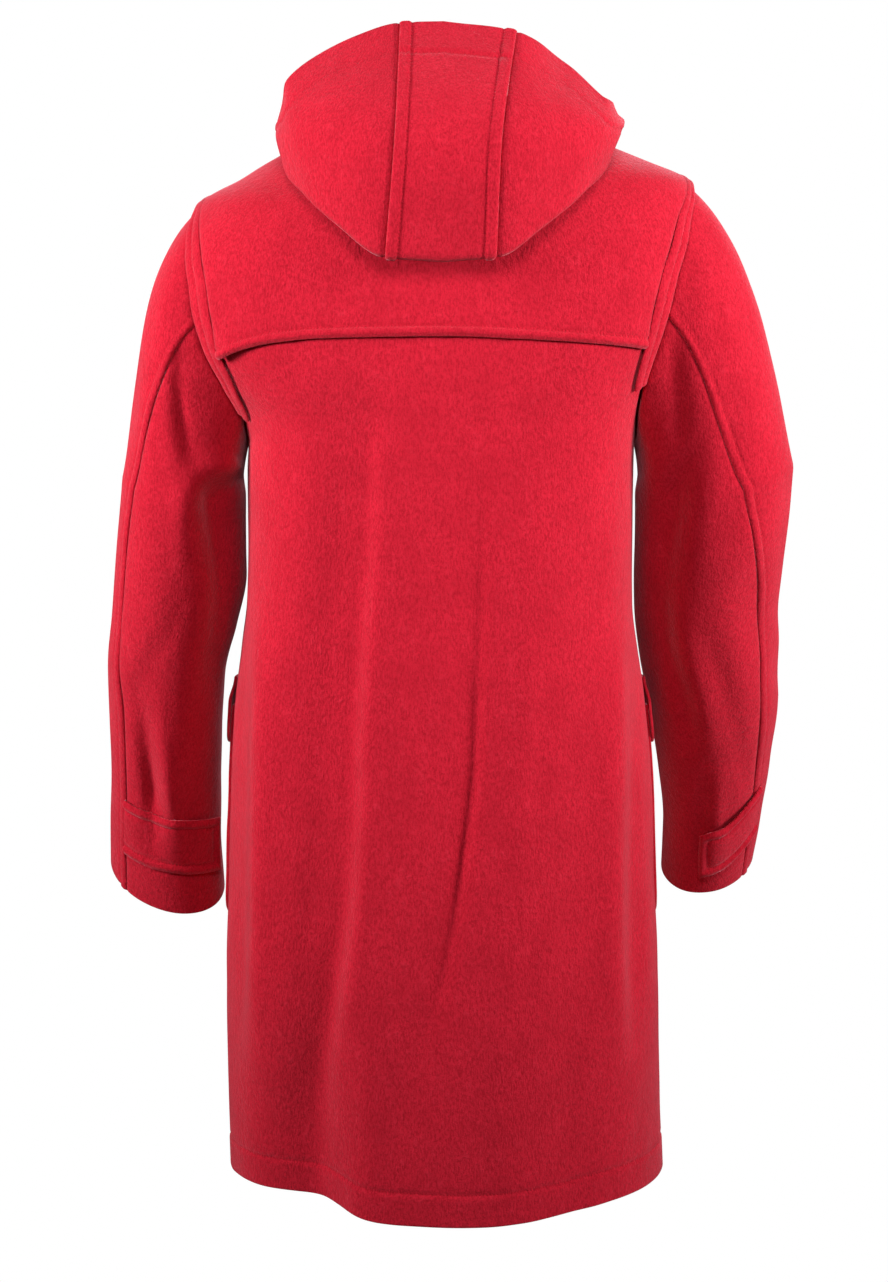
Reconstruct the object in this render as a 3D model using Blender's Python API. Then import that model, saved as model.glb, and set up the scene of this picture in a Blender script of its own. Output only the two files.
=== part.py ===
"""Duffle coat, worn form, hood thrown back: every cut piece is its own thin closed wall.

Metres, +Z up.  The wearer faces -Y and the wearer's left is +X.  The origin is the middle of
the neck-to-shoulder line, where the coat hangs from the wearer's shoulders.
"""
import math

import bpy
import numpy as np

# ---------------------------------------------------------------- driving sizes
CLOTH = 0.0026          # heavy milled wool, one layer
SEAM = 0.0003           # clear gap between two pieces that meet
LAY = 0.0010            # clear gap under a piece that lies on another
BODY_ROUND = 9         # columns from centre back to a side seam
BODY_LONG = 8          # rows from hem to underarm
ARM_ROWS = 12            # rows beside the armhole
SHOULDER_ROWS = 4       # rows from shoulder tip to neck seam
OVERLAP = 0.036         # each front passes the centre by this much
NECK_RISE = 0.016       # hood stands this much above the neck seam before it rolls back

HEM_Z = -1.036
UNDERARM_Z = -0.310
TIP_Z = -0.0764         # mean height of the two shoulder tips
TIP_SKEW = 0.0100       # left tip is lower by this, right tip is higher by this
ARMHOLE_BACK = 0.080    # half-width of the armhole towards the back
ARMHOLE_FRONT = 0.084   # and towards the front
BAND_WIDTH = 0.0165     # raised strip along each armhole seam
BAND_CLOTH = 0.0022
BAND_FROM = {1: 45, -1: 60}   # degrees round the armhole from the underarm, at the back
SHOULDER_LAY = 0.0018   # the same gap where the form is rounder

# height, half-width left, half-width right, depth back, depth front, corner squareness
BODY_COLUMNS = ("z", "left", "right", "back", "front", "square")
BODY = (
    (-1.0360, 0.2145, 0.2200, 0.191, 0.178, 2.05),
    (-0.9700, 0.2155, 0.2165, 0.187, 0.174, 2.08),
    (-0.8300, 0.2170, 0.2130, 0.180, 0.165, 2.20),
    (-0.7400, 0.2140, 0.2085, 0.174, 0.158, 2.20),
    (-0.6500, 0.2110, 0.2050, 0.167, 0.151, 2.25),
    (-0.5600, 0.2050, 0.1970, 0.159, 0.144, 2.30),
    (-0.5100, 0.1985, 0.1895, 0.155, 0.141, 2.35),
    (-0.4670, 0.1925, 0.1840, 0.152, 0.139, 2.40),
    (-0.4000, 0.1905, 0.1835, 0.149, 0.138, 2.45),
    (-0.3390, 0.1905, 0.1835, 0.147, 0.138, 2.50),
    (-0.3100, 0.1895, 0.1840, 0.147, 0.138, 2.50),
    (-0.2900, 0.1940, 0.1870, 0.147, 0.138, 2.50),
    (-0.2570, 0.2180, 0.1985, 0.148, 0.137, 2.50),
    (-0.2170, 0.2470, 0.2180, 0.148, 0.135, 2.50),
    (-0.1760, 0.2610, 0.2350, 0.145, 0.132, 2.45),
    (-0.1470, 0.2620, 0.2420, 0.142, 0.128, 2.40),
    (-0.1200, 0.2550, 0.2465, 0.137, 0.122, 2.35),
    (-0.0864, 0.2320, 0.2440, 0.125, 0.112, 2.25),
    (-0.0664, 0.1970, 0.2345, 0.115, 0.104, 2.20),
    (-0.0400, 0.1510, 0.1735, 0.101, 0.094, 2.10),
    (-0.0200, 0.1160, 0.1295, 0.090, 0.086, 2.05),
    (0.0000, 0.0820, 0.0820, 0.078, 0.078, 2.00),
)

# how far the row through a shoulder height sinks at centre back and centre front
DROP_COLUMNS = ("z", "back", "front")
DROP = (
    (-1.1000, 0.000, 0.000),
    (-0.3100, 0.000, 0.000),
    (-0.2100, 0.000, 0.028),
    (-0.1400, 0.002, 0.048),
    (-0.0764, 0.005, 0.062),
    (-0.0300, 0.009, 0.076),
    (0.0000, 0.012, 0.085),
)

# large folds of the back and fronts: each row is (height, x of the middle line, half-width,
# rise); a minus rise is a trough
FOLD_COLUMNS = ("z", "x", "half", "rise")
BACK_FOLDS = (
    ((-0.24, 0.084, 0.022, 0.000), (-0.40, 0.096, 0.030, -0.007), (-0.62, 0.108, 0.036, -0.010),
     (-0.80, 0.116, 0.042, -0.014), (-0.94, 0.128, 0.046, -0.024), (-1.05, 0.134, 0.048, -0.030)),
    ((-0.22, 0.040, 0.026, 0.000), (-0.42, 0.050, 0.028, 0.006), (-0.62, 0.064, 0.028, 0.007),
     (-0.80, 0.072, 0.030, 0.007), (-1.05, 0.084, 0.034, 0.004)),
    ((-0.23, -0.034, 0.014, 0.000), (-0.46, -0.026, 0.018, -0.005),
     (-0.62, -0.022, 0.018, -0.005), (-0.72, -0.012, 0.020, -0.005),
     (-0.84, 0.006, 0.022, -0.004), (-1.05, 0.050, 0.022, 0.000)),
    ((-0.24, -0.072, 0.030, 0.000), (-0.46, -0.064, 0.032, 0.005), (-0.62, -0.058, 0.034, 0.005),
     (-0.80, -0.044, 0.036, 0.005), (-1.05, -0.034, 0.040, 0.003)),
    ((-0.30, -0.136, 0.030, 0.000), (-0.50, -0.134, 0.034, -0.005),
     (-0.75, -0.128, 0.036, -0.007), (-1.05, -0.120, 0.040, -0.006)),
    ((-0.42, 0.168, 0.020, 0.000), (-0.62, 0.174, 0.022, 0.004), (-0.85, 0.182, 0.024, 0.005),
     (-1.05, 0.186, 0.026, 0.006)),
)
FRONT_FOLDS = (
    ((-0.34, 0.126, 0.040, 0.000), (-0.60, 0.122, 0.042, -0.003), (-0.84, 0.110, 0.042, -0.006),
     (-1.05, 0.104, 0.044, -0.008)),
    ((-0.34, -0.128, 0.040, 0.000), (-0.60, -0.118, 0.042, -0.003),
     (-0.84, -0.114, 0.042, -0.005), (-1.05, -0.116, 0.044, -0.007)),
    ((-0.78, 0.164, 0.032, 0.000), (-0.90, 0.162, 0.034, 0.003), (-1.05, 0.160, 0.036, 0.005)),
)

# the hem is lifted a little beside the deep left fold; angle in degrees from centre back
HEM_COLUMNS = ("angle", "lift")
HEM_LIFT = ((-180, 0.004), (-90, 0.002), (-50, 0.004), (-20, 0.000), (15, 0.001), (38, 0.009),
            (62, 0.010), (90, 0.002), (180, 0.004))

# sleeve rings: share of the way from upper arm to cuff, height, inner and outer reach from the
# middle, forward set, half-depth, rise of the outer side, fall of the back side
ARM_COLUMNS = ("share", "z", "inner", "outer", "y", "depth", "rise", "fall")
LEFT_ARM = (
    (0.000, -0.3650, 0.1965, 0.3138, -0.002, 0.070, 0.020, 0.006),
    (0.143, -0.4274, 0.1965, 0.3208, -0.008, 0.066, 0.012, 0.006),
    (0.286, -0.4860, 0.2062, 0.3280, -0.018, 0.061, 0.008, 0.010),
    (0.429, -0.5400, 0.2188, 0.3345, -0.031, 0.056, 0.008, 0.014),
    (0.571, -0.6000, 0.2240, 0.3362, -0.048, 0.053, 0.008, 0.018),
    (0.714, -0.6600, 0.2268, 0.3378, -0.066, 0.050, 0.010, 0.022),
    (0.857, -0.7100, 0.2290, 0.3412, -0.081, 0.048, 0.013, 0.026),
    (1.000, -0.7600, 0.2265, 0.3436, -0.094, 0.047, 0.016, 0.030),
)
RIGHT_ARM = (
    (0.000, -0.3560, 0.1898, 0.3402, 0.000, 0.070, 0.022, 0.004),
    (0.143, -0.4120, 0.1898, 0.3360, -0.010, 0.066, 0.010, 0.008),
    (0.286, -0.4700, 0.1915, 0.3318, -0.028, 0.062, 0.004, 0.014),
    (0.429, -0.5225, 0.1975, 0.3362, -0.047, 0.058, 0.004, 0.020),
    (0.571, -0.5800, 0.2085, 0.3386, -0.071, 0.055, 0.004, 0.024),
    (0.714, -0.6430, 0.2205, 0.3348, -0.097, 0.051, 0.006, 0.026),
    (0.857, -0.7050, 0.2278, 0.3298, -0.123, 0.048, 0.008, 0.026),
    (1.000, -0.7560, 0.2284, 0.3254, -0.144, 0.047, 0.010, 0.026),
)

# large folds of the sleeves: place along (-1 armhole, 0 upper arm, 1 cuff), angle round the
# sleeve (90 is the back, 180 the outer side), half-width in degrees and rise
ARM_FOLD_COLUMNS = ("along", "angle", "half", "rise")
LEFT_ARM_FOLDS = (
    ((-0.98, 62, 20, 0.000), (-0.75, 74, 22, -0.005), (-0.45, 78, 26, -0.008),
     (-0.12, 58, 28, -0.006), (0.16, 30, 30, 0.000)),
    ((0.30, 104, 16, 0.000), (0.55, 100, 15, -0.003), (0.72, 97, 13, -0.005),
     (0.90, 96, 13, 0.000)),
    ((0.34, 74, 14, 0.000), (0.55, 76, 13, 0.003), (0.72, 78, 12, 0.0035), (0.88, 78, 12, 0.000)),
    ((-0.60, 250, 24, 0.000), (-0.20, 262, 26, -0.005), (0.25, 290, 26, 0.000)),
)
RIGHT_ARM_FOLDS = (
    ((-0.98, 66, 18, 0.000), (-0.70, 62, 24, -0.006), (-0.40, 66, 28, -0.007),
     (0.00, 48, 26, -0.004), (0.20, 30, 24, 0.000)),
    ((0.10, 110, 20, 0.000), (0.28, 128, 22, -0.004), (0.42, 150, 24, -0.004),
     (0.55, 170, 24, 0.000)),
    ((-0.60, 250, 24, 0.000), (-0.20, 262, 26, -0.005), (0.25, 290, 26, 0.000)),
)

# hood ribs, one half: share of the neck seam from centre back, fold and edge points
HOOD_COLUMNS = ("u", "fold_x", "fold_y", "fold_z", "belly_x", "belly_y", "belly_z",
                "edge_x", "edge_y", "edge_z")
HOOD_LEFT = (
    (0.00, 0.000, 0.186, -0.141, 0.000, 0.197, -0.030, 0.000, 0.130, 0.0745),
    (0.16, 0.053, 0.183, -0.137, 0.044, 0.194, -0.030, 0.040, 0.127, 0.0735),
    (0.34, 0.095, 0.165, -0.109, 0.104, 0.164, -0.022, 0.110, 0.100, 0.0500),
    (0.50, 0.126, 0.137, -0.082, 0.142, 0.128, -0.026, 0.146, 0.092, 0.0220),
    (0.64, 0.147, 0.092, -0.055, 0.156, 0.084, -0.022, 0.149, 0.060, 0.0080),
    (0.76, 0.148, 0.029, -0.0245, 0.158, 0.024, -0.010, 0.142, 0.012, 0.0010),
    (0.88, 0.124, -0.055, -0.036, 0.131, -0.069, -0.026, 0.114, -0.082, -0.0190),
    (1.00, 0.050, -0.111, -0.120, 0.048, -0.126, -0.116, 0.040, -0.128, -0.0980),
)
HOOD_RIGHT = (
    (0.00, 0.000, 0.186, -0.141, 0.000, 0.197, -0.030, 0.000, 0.130, 0.0745),
    (0.16, 0.047, 0.183, -0.137, 0.052, 0.194, -0.030, 0.066, 0.124, 0.0660),
    (0.34, 0.092, 0.165, -0.108, 0.108, 0.160, -0.022, 0.112, 0.092, 0.0400),
    (0.50, 0.128, 0.137, -0.078, 0.147, 0.124, -0.024, 0.148, 0.090, 0.0100),
    (0.64, 0.153, 0.092, -0.049, 0.165, 0.084, -0.018, 0.158, 0.060, 0.0060),
    (0.76, 0.159, 0.029, -0.0170, 0.170, 0.024, -0.006, 0.152, 0.012, 0.0030),
    (0.88, 0.128, -0.055, -0.033, 0.135, -0.069, -0.023, 0.117, -0.082, -0.0160),
    (1.00, 0.050, -0.111, -0.120, 0.048, -0.126, -0.116, 0.040, -0.128, -0.0980),
)
GUSSET_SHARE = 0.16     # of the neck seam, each side of centre back

# yoke and bands
YOKE_COLUMNS = ("x", "back", "front")
YOKE_EDGE = (
    (-0.21, -0.2230, -0.178),
    (-0.17, -0.2165, -0.176),
    (-0.10, -0.2110, -0.174),
    (0.00, -0.2070, -0.174),
    (0.10, -0.2085, -0.174),
    (0.17, -0.2150, -0.176),
    (0.21, -0.2290, -0.178),
)
YOKE_FRONT_END = 0.047  # the yoke stops this far from the centre front
YOKE_START = -0.006     # below the neck seam
YOKE_COLS_BACK = 16
YOKE_COLS_FRONT = 6

# sleeves
CAP_ROWS = 5
SLEEVE_ROWS = 8
# angle round the sleeve of its two seams; the back one differs between the arms
SEAM_COLUMNS = ("share", "angle")
LEFT_SEAM = ((0.0, 90.0), (0.144, 99.0), (0.288, 115.0), (0.394, 127.0), (0.490, 135.0),
             (0.580, 142.0), (0.680, 140.0), (0.780, 131.0), (1.0, 132.0))
RIGHT_SEAM = ((0.0, 90.0), (0.130, 93.0), (0.275, 95.0), (0.413, 99.0), (0.470, 102.0),
              (0.530, 111.0), (0.600, 126.0), (0.660, 135.0), (0.780, 131.0), (1.0, 133.0))
FRONT_SEAM = ((0.0, 300.0), (0.4, 305.0), (1.0, 310.0))

# hood
HOOD_V = (0.0, 0.05, 0.10, 0.15, 0.24, 0.36, 0.44, 0.47, 0.50, 0.60, 0.72, 0.86, 1.0)
HOOD_TURN = 0.0055      # radius of the low fold
HOOD_ENDS = 148.0       # where the hood stops on the neck seam, degrees from centre back

# pockets and flaps
POCKET_TOP = -0.574
POCKET_BOTTOM = -0.787
POCKET_NEAR = 0.012     # from the side seam, measured along the front
POCKET_FAR = 0.168
POCKET_ROUND = 0.024    # radius of the lower corners
FLAP_TOP = -0.545
FLAP_BOTTOM = -0.612
FLAP_OVER = 0.004       # the flap is wider than its pocket by this at each end

# cuff tabs
# angle round the sleeve (90 is the back), upper edge, lower edge, stand-off
TAB_COLUMNS = ("angle", "top", "bottom", "lift")
TAB_LEFT = (
    (24.0, -0.6928, -0.7500, 0.0034),
    (50.0, -0.6920, -0.7500, 0.0012),
    (95.0, -0.6860, -0.7430, 0.0006),
    (130.0, -0.6720, -0.7290, 0.0000),
)
TAB_RIGHT = (
    (76.0, -0.7120, -0.7600, 0.0085),
    (100.0, -0.7000, -0.7500, 0.0040),
    (125.0, -0.6780, -0.7300, 0.0008),
    (139.0, -0.6650, -0.7160, 0.0000),
)
TAB_LAY = 0.0014
TAB_RIM = 0.0012        # the stitched edge of a tab stands up by this

# toggles
TOGGLE_HEIGHTS = (-0.205, -0.335, -0.465, -0.595)
TOGGLE_LONG = 0.054
TOGGLE_THICK = 0.0068   # radius at the middle
TOGGLE_X = -0.034
CORD = 0.0022           # radius
PATCH_LONG = 0.030
PATCH_TALL = 0.036
PATCH_CLOTH = 0.0022
LOOP_HALF = 0.0078      # half the spread of the loop's two strands
LOOP_BEND_X = -0.050
LEFT_PATCH_X = 0.016
RIGHT_PATCH_X = -0.076


# ---------------------------------------------------------------- helpers
def smooth(x):
    x = np.clip(x, 0.0, 1.0)
    return x * x * (3.0 - 2.0 * x)


def slopes(keys, values):
    """Slopes that keep a curve through a short table from overshooting."""
    step = np.diff(keys)
    rate = np.diff(values) / step
    out = np.zeros_like(values)
    out[0] = rate[0]
    out[-1] = rate[-1]
    for i in range(1, len(values) - 1):
        if rate[i - 1] * rate[i] > 0:
            w1 = 2 * step[i] + step[i - 1]
            w2 = step[i] + 2 * step[i - 1]
            out[i] = (w1 + w2) / (w1 / rate[i - 1] + w2 / rate[i])
    return out


CURVES = {}


def column(table, names, name, at):
    """Smooth value of one named column of a table at a place along its first column."""
    place = (id(table), name)
    if place not in CURVES:
        rows = sorted(table)
        keys = np.array([row[0] for row in rows], float)
        values = np.array([row[names.index(name)] for row in rows], float)
        CURVES[place] = (keys, values, slopes(keys, values))
    k, v, m = CURVES[place]
    at = np.clip(np.asarray(at, float), k[0], k[-1])
    i = np.clip(np.searchsorted(k, at, side="right") - 1, 0, len(k) - 2)
    h = k[i + 1] - k[i]
    s = (at - k[i]) / h
    a = v[i] * (1 + 2 * s) * (1 - s) ** 2 + v[i + 1] * s * s * (3 - 2 * s)
    return a + h * (m[i] * s * (1 - s) ** 2 - m[i + 1] * s * s * (1 - s))


def unit(v):
    return v / np.maximum(np.linalg.norm(v, axis=-1, keepdims=True), 1e-12)


# ---------------------------------------------------------------- body form
def side_height(angle, t):
    """Rows tilt a little: the left shoulder hangs lower than the right one."""
    top = smooth((t - UNDERARM_Z) / (TIP_Z - UNDERARM_Z))
    neck = 1.0 - smooth((t - TIP_Z) / (0.0 - TIP_Z))
    return t - TIP_SKEW * top * neck * np.sin(angle) * np.abs(np.sin(angle))


def fold_height(x, y, z):
    total = np.zeros_like(x)
    for folds, sign in ((BACK_FOLDS, 1.0), (FRONT_FOLDS, -1.0)):
        facing = smooth(sign * y / 0.05)
        for fold in folds:
            middle = column(fold, FOLD_COLUMNS, "x", z)
            half = column(fold, FOLD_COLUMNS, "half", z)
            rise = column(fold, FOLD_COLUMNS, "rise", z)
            away = (x - middle) / half
            total = total + rise * np.exp(-away * away) * facing
    return total


def skin(angle, t, folds=True):
    """Outer face of the body: angle 0 at centre back, +90 the left side seam."""
    angle = np.asarray(angle, float)
    t = np.asarray(t, float)
    z = side_height(angle, t)
    s = np.sin(angle)
    c = np.cos(angle)
    left = column(BODY, BODY_COLUMNS, "left", z)
    right = column(BODY, BODY_COLUMNS, "right", z)
    half = np.where(s >= 0, left, right)
    back = column(BODY, BODY_COLUMNS, "back", z)
    front = column(BODY, BODY_COLUMNS, "front", z)
    depth = np.where(c >= 0, back, front)
    n = column(BODY, BODY_COLUMNS, "square", z)
    fall_back = column(DROP, DROP_COLUMNS, "back", z)
    fall_front = column(DROP, DROP_COLUMNS, "front", z)
    fall = np.where(c >= 0, fall_back, fall_front)
    x = half * np.sign(s) * np.abs(s) ** (2.0 / n)
    y = depth * np.sign(c) * np.abs(c) ** (2.0 / n)
    zz = z - fall * c * c
    degrees = np.degrees(np.arctan2(s, c))
    lift = column(HEM_LIFT, HEM_COLUMNS, "lift", degrees)
    zz = zz + lift * smooth((z + 0.80) / (HEM_Z + 0.80))
    points = np.stack(np.broadcast_arrays(x, y, zz), -1)
    if folds:
        rise = fold_height(x, y, zz)
        flat = unit(np.stack([x / half ** 2, y / depth ** 2, 0 * x], -1))
        points = points + flat * rise[..., None]
    return points


def skin_normal(angle, t):
    e = 0.004
    da = skin(angle + e, t) - skin(angle - e, t)
    dt = skin(angle, np.asarray(t) + e) - skin(angle, np.asarray(t) - e)
    return unit(np.cross(dt, da))


def edge_angle(side, y, t):
    """Angle at which the body row t reaches depth y (plus is towards the back)."""
    a = np.full(np.shape(y), math.pi / 2)
    for _ in range(3):
        z = side_height(side * a, t)
        back = column(BODY, BODY_COLUMNS, "back", z)
        front = column(BODY, BODY_COLUMNS, "front", z)
        depth = np.where(y >= 0, back, front)
        n = column(BODY, BODY_COLUMNS, "square", z)
        c = np.clip(np.abs(y) / depth, 0, 0.999) ** (n / 2.0)
        a = np.where(y >= 0, np.arccos(c), math.pi - np.arccos(c))
    return side * a


def armhole_yt(theta, grow=0.0):
    """Armhole loop: theta 0 at the underarm, 180 degrees at the shoulder tip."""
    middle = 0.5 * (TIP_Z + UNDERARM_Z)
    tall = 0.5 * (TIP_Z - UNDERARM_Z)
    s = np.sin(theta)
    wide = np.where(s >= 0, ARMHOLE_BACK, ARMHOLE_FRONT)
    up = -np.cos(theta)
    # a growing loop climbs less in height where the shoulder lies flat
    flat = np.where(up > 0, 1.0 - 0.52 * smooth(up), 1.0)
    return (wide + grow) * s, middle + (tall + grow * flat) * up


def armhole(side, theta, grow=0.0):
    y, t = armhole_yt(theta, grow)
    return edge_angle(side, y, t), t


def rows_for_body():
    """Row heights from hem to neck; those beside the armhole follow its oval."""
    low = HEM_Z + (UNDERARM_Z - HEM_Z) * np.linspace(0, 1, BODY_LONG + 1) ** 0.96
    theta = np.linspace(0, math.pi, ARM_ROWS + 1)[1:]
    arm = armhole_yt(theta)[1]
    top = TIP_Z * (1 - np.linspace(0, 1, SHOULDER_ROWS + 1)[1:])
    return np.concatenate([low, arm, top])


def side_limit(t, back):
    """Angle where a body row stops: the side seam, the armhole or the shoulder seam."""
    if t <= UNDERARM_Z + 1e-6 or t >= TIP_Z - 1e-6:
        return math.pi / 2
    up = (t - 0.5 * (TIP_Z + UNDERARM_Z)) / (0.5 * (TIP_Z - UNDERARM_Z))
    wide = ARMHOLE_BACK if back else ARMHOLE_FRONT
    y = wide * math.sqrt(max(0.0, 1 - up * up)) * (1 if back else -1)
    return y


def equal_steps(t, a0, a1, count, power=1.0):
    """Angles between a0 and a1 that share the row out evenly by length."""
    fine = np.linspace(a0, a1, 160)
    p = skin(fine, np.full_like(fine, t), False)
    run = np.concatenate([[0], np.cumsum(np.linalg.norm(np.diff(p, axis=0), axis=1))])
    want = np.linspace(0, 1, count + 1) ** power * run[-1]
    return np.interp(want, run, fine), run[-1]


# ---------------------------------------------------------------- solids
def material(name, colour, rough, sheen=0.0):
    made = bpy.data.materials.new(name)
    made.use_nodes = True
    shader = made.node_tree.nodes["Principled BSDF"]
    shader.inputs["Base Color"].default_value = (*colour, 1.0)
    shader.inputs["Roughness"].default_value = rough
    shader.inputs["Sheen Weight"].default_value = sheen
    return made


def solid(name, points, faces, colour, flat=False):
    points = np.asarray(points, float)
    volume = 0.0
    for f in faces:
        for i in range(1, len(f) - 1):
            a, b, c = points[f[0]], points[f[i]], points[f[i + 1]]
            volume += float(np.dot(a, np.cross(b, c)))
    if volume < 0:
        faces = [tuple(reversed(f)) for f in faces]
    mesh = bpy.data.meshes.new(name)
    mesh.from_pydata([tuple(float(v) for v in p) for p in points], [], faces)
    mesh.update()
    for poly in mesh.polygons:
        poly.use_smooth = not flat
    mesh.materials.append(colour)
    made = bpy.data.objects.new(name, mesh)
    bpy.context.scene.collection.objects.link(made)
    return made


def wall_mesh(name, outer, inner, quads, colour):
    """Closed wall over any set of quads: outer skin, inner skin and a rim round each edge."""
    points = np.concatenate([outer, inner])
    shift = len(outer)
    faces = []

    def quad(a, b, c, d):
        if np.linalg.norm(points[a] - points[c]) <= np.linalg.norm(points[b] - points[d]):
            faces.append((a, b, c))
            faces.append((a, c, d))
        else:
            faces.append((a, b, d))
            faces.append((b, c, d))

    edges = {}
    for q in quads:
        quad(*q)
        quad(*[shift + i for i in reversed(q)])
        for i in range(4):
            a, b = q[i], q[(i + 1) % 4]
            if (b, a) in edges:
                del edges[(b, a)]
            else:
                edges[(a, b)] = True
    for a, b in edges:
        quad(b, a, shift + a, shift + b)
    return solid(name, points, faces, colour)


def wall(name, outer, inner, colour):
    """Closed wall between two grids of the same size."""
    rows, cols = outer.shape[:2]
    index = np.arange(rows * cols).reshape(rows, cols)
    quads = []
    for r in range(rows - 1):
        for c in range(cols - 1):
            quads.append((index[r, c], index[r, c + 1], index[r + 1, c + 1], index[r + 1, c]))
    return wall_mesh(name, outer.reshape(-1, 3), inner.reshape(-1, 3), quads, colour)


def joined_wall(name, parts, colour):
    """One wall from several grids that share their common edge."""
    found = {}
    outer = []
    inner = []
    quads = []
    for top, low in parts:
        rows, cols = top.shape[:2]
        index = np.zeros((rows, cols), int)
        for r in range(rows):
            for c in range(cols):
                key = tuple(np.round(low[r, c], 6))
                if key not in found:
                    found[key] = len(outer)
                    outer.append(top[r, c])
                    inner.append(low[r, c])
                index[r, c] = found[key]
        for r in range(rows - 1):
            for c in range(cols - 1):
                q = (index[r, c], index[r, c + 1], index[r + 1, c + 1], index[r + 1, c])
                quads.append(tuple(int(i) for i in q))
    return wall_mesh(name, np.array(outer), np.array(inner), quads, colour)


def layer(base, normals, lift, thick):
    """Outer and inner grids of a piece lying on a surface."""
    lift = np.asarray(lift, float)
    thick = np.asarray(thick, float)
    low = base + normals * np.broadcast_to(lift, base.shape[:2])[..., None]
    top = low + normals * np.broadcast_to(thick, base.shape[:2])[..., None]
    return top, low


# ---------------------------------------------------------------- body pieces
def body_grid(angles, rows):
    t = np.repeat(np.asarray(rows)[:, None], angles.shape[1], 1)
    return skin(angles, t), skin_normal(angles, t)


def row_limit(side, t, back):
    limit = side_limit(t, back)
    if abs(limit - math.pi / 2) < 1e-9:
        return side * math.pi / 2
    return float(edge_angle(side, np.array(limit), np.array(t)))


def trim(angle_from, angle_to, t):
    """Bring a row's end back by half a seam gap."""
    step = 0.002 if angle_to > angle_from else -0.002
    p = skin(np.array([angle_to, angle_to - step]), np.array([t, t]), False)
    reach = np.linalg.norm(p[0] - p[1])
    return angle_to - step * (SEAM / 2) / max(reach, 1e-6)


def seam_lean(side, t, own, back):
    """Direction of the wall's end face: shared with the sleeve where the seam is a ridge."""
    beside = (t > UNDERARM_Z + 1e-6) & (t < TIP_Z + 1e-6)
    up = (t - 0.5 * (TIP_Z + UNDERARM_Z)) / (0.5 * (TIP_Z - UNDERARM_Z))
    theta = np.arccos(np.clip(-up, -1, 1))
    if not back:
        theta = 2 * math.pi - theta
    return np.where(beside[:, None], mitre(side, theta, own), own)


def mitre(side, theta, own):
    """Lean of the end face at the armhole, long enough to keep the cloth's thickness."""
    a, t = armhole(side, theta)
    body = skin_normal(a, t)
    arm = sleeve_normal(side, np.full(np.shape(theta), -1.0), theta)
    middle = unit(body + arm)
    agree = np.sum(body * arm, axis=-1, keepdims=True)
    long = 1.0 / np.maximum(np.sqrt(np.maximum(0.5 * (1 + agree), 0.05)), 0.7)
    share = smooth((agree - 0.1) / 0.4)
    return own * (1 - share) + middle * long * share


def make_back(colour):
    rows = rows_for_body()
    grid = []
    for t in rows:
        left = trim(0, row_limit(1, t, True), t)
        right = trim(0, row_limit(-1, t, True), t)
        a, _ = equal_steps(t, 0, left, BODY_ROUND)
        b, _ = equal_steps(t, 0, right, BODY_ROUND)
        grid.append(np.concatenate([b[::-1], a[1:]]))
    angles = np.array(grid)
    outer, normals = body_grid(angles, rows)
    normals[:, -1] = seam_lean(1, rows, normals[:, -1], True)
    normals[:, 0] = seam_lean(-1, rows, normals[:, 0], True)
    return wall("back", outer, outer - normals * CLOTH, colour)


def under_lap(side, x):
    """The right front passes beneath the left one near the centre."""
    reach = smooth((x + OVERLAP + 0.055) / 0.05) if side < 0 else 0 * x
    return -(CLOTH + LAY + 0.0004) * reach


def front_end(side, t):
    half = column(BODY, BODY_COLUMNS, "right" if side > 0 else "left", t)
    n = column(BODY, BODY_COLUMNS, "square", t)
    return side * (math.pi + math.asin((OVERLAP / half) ** (n / 2.0)))


def make_front(side, colour):
    rows = rows_for_body()
    grid = []
    for t in rows:
        start = row_limit(side, t, False)
        end = float(front_end(side, t))
        start = trim(end, start, t)
        a, _ = equal_steps(t, start, end, BODY_ROUND)
        grid.append(a)
    angles = np.array(grid)
    outer, normals = body_grid(angles, rows)
    normals[:, 0] = seam_lean(side, rows, normals[:, 0], False)
    outer = outer + normals * under_lap(side, outer[..., 0])[..., None]
    inner = outer - normals * CLOTH
    return wall("front_left" if side > 0 else "front_right", outer, inner, colour)


# ---------------------------------------------------------------- yoke and bands
def band_limit(side, t, back):
    """Angle at which a row meets the inner edge of the armhole band."""
    grow = BAND_WIDTH + 0.0008
    lo, hi = 0.0, math.pi
    for _ in range(36):
        mid = 0.5 * (lo + hi)
        if armhole_yt(np.array(mid), grow)[1] < t:
            lo = mid
        else:
            hi = mid
    theta = 0.5 * (lo + hi)
    if theta > math.pi - 1e-4:
        return side * math.pi / 2
    if not back:
        theta = 2 * math.pi - theta
    y = armhole_yt(np.array(theta), grow)[0]
    return float(edge_angle(side, y, np.array(t)))


def yoke_low(angle, back):
    """Row height at which an angle of the body meets the yoke's lower edge."""
    lo, hi = -0.33, -0.05
    for _ in range(30):
        mid = 0.5 * (lo + hi)
        p = skin(np.array(angle), np.array(mid), False)
        edge = column(YOKE_EDGE, YOKE_COLUMNS, "back" if back else "front", p[0])
        if p[2] > edge:
            hi = mid
        else:
            lo = mid
    return 0.5 * (lo + hi)


def yoke_rows():
    """Heights down to the last row that both the back and the fronts of the yoke share."""
    beside = armhole_yt(np.radians([180.0, 165.0, 150.0, 135.0]), BAND_WIDTH + 0.0008)[1]
    return [YOKE_START, -0.0200, -0.0370, -0.0530] + [float(t) for t in beside]


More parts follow.
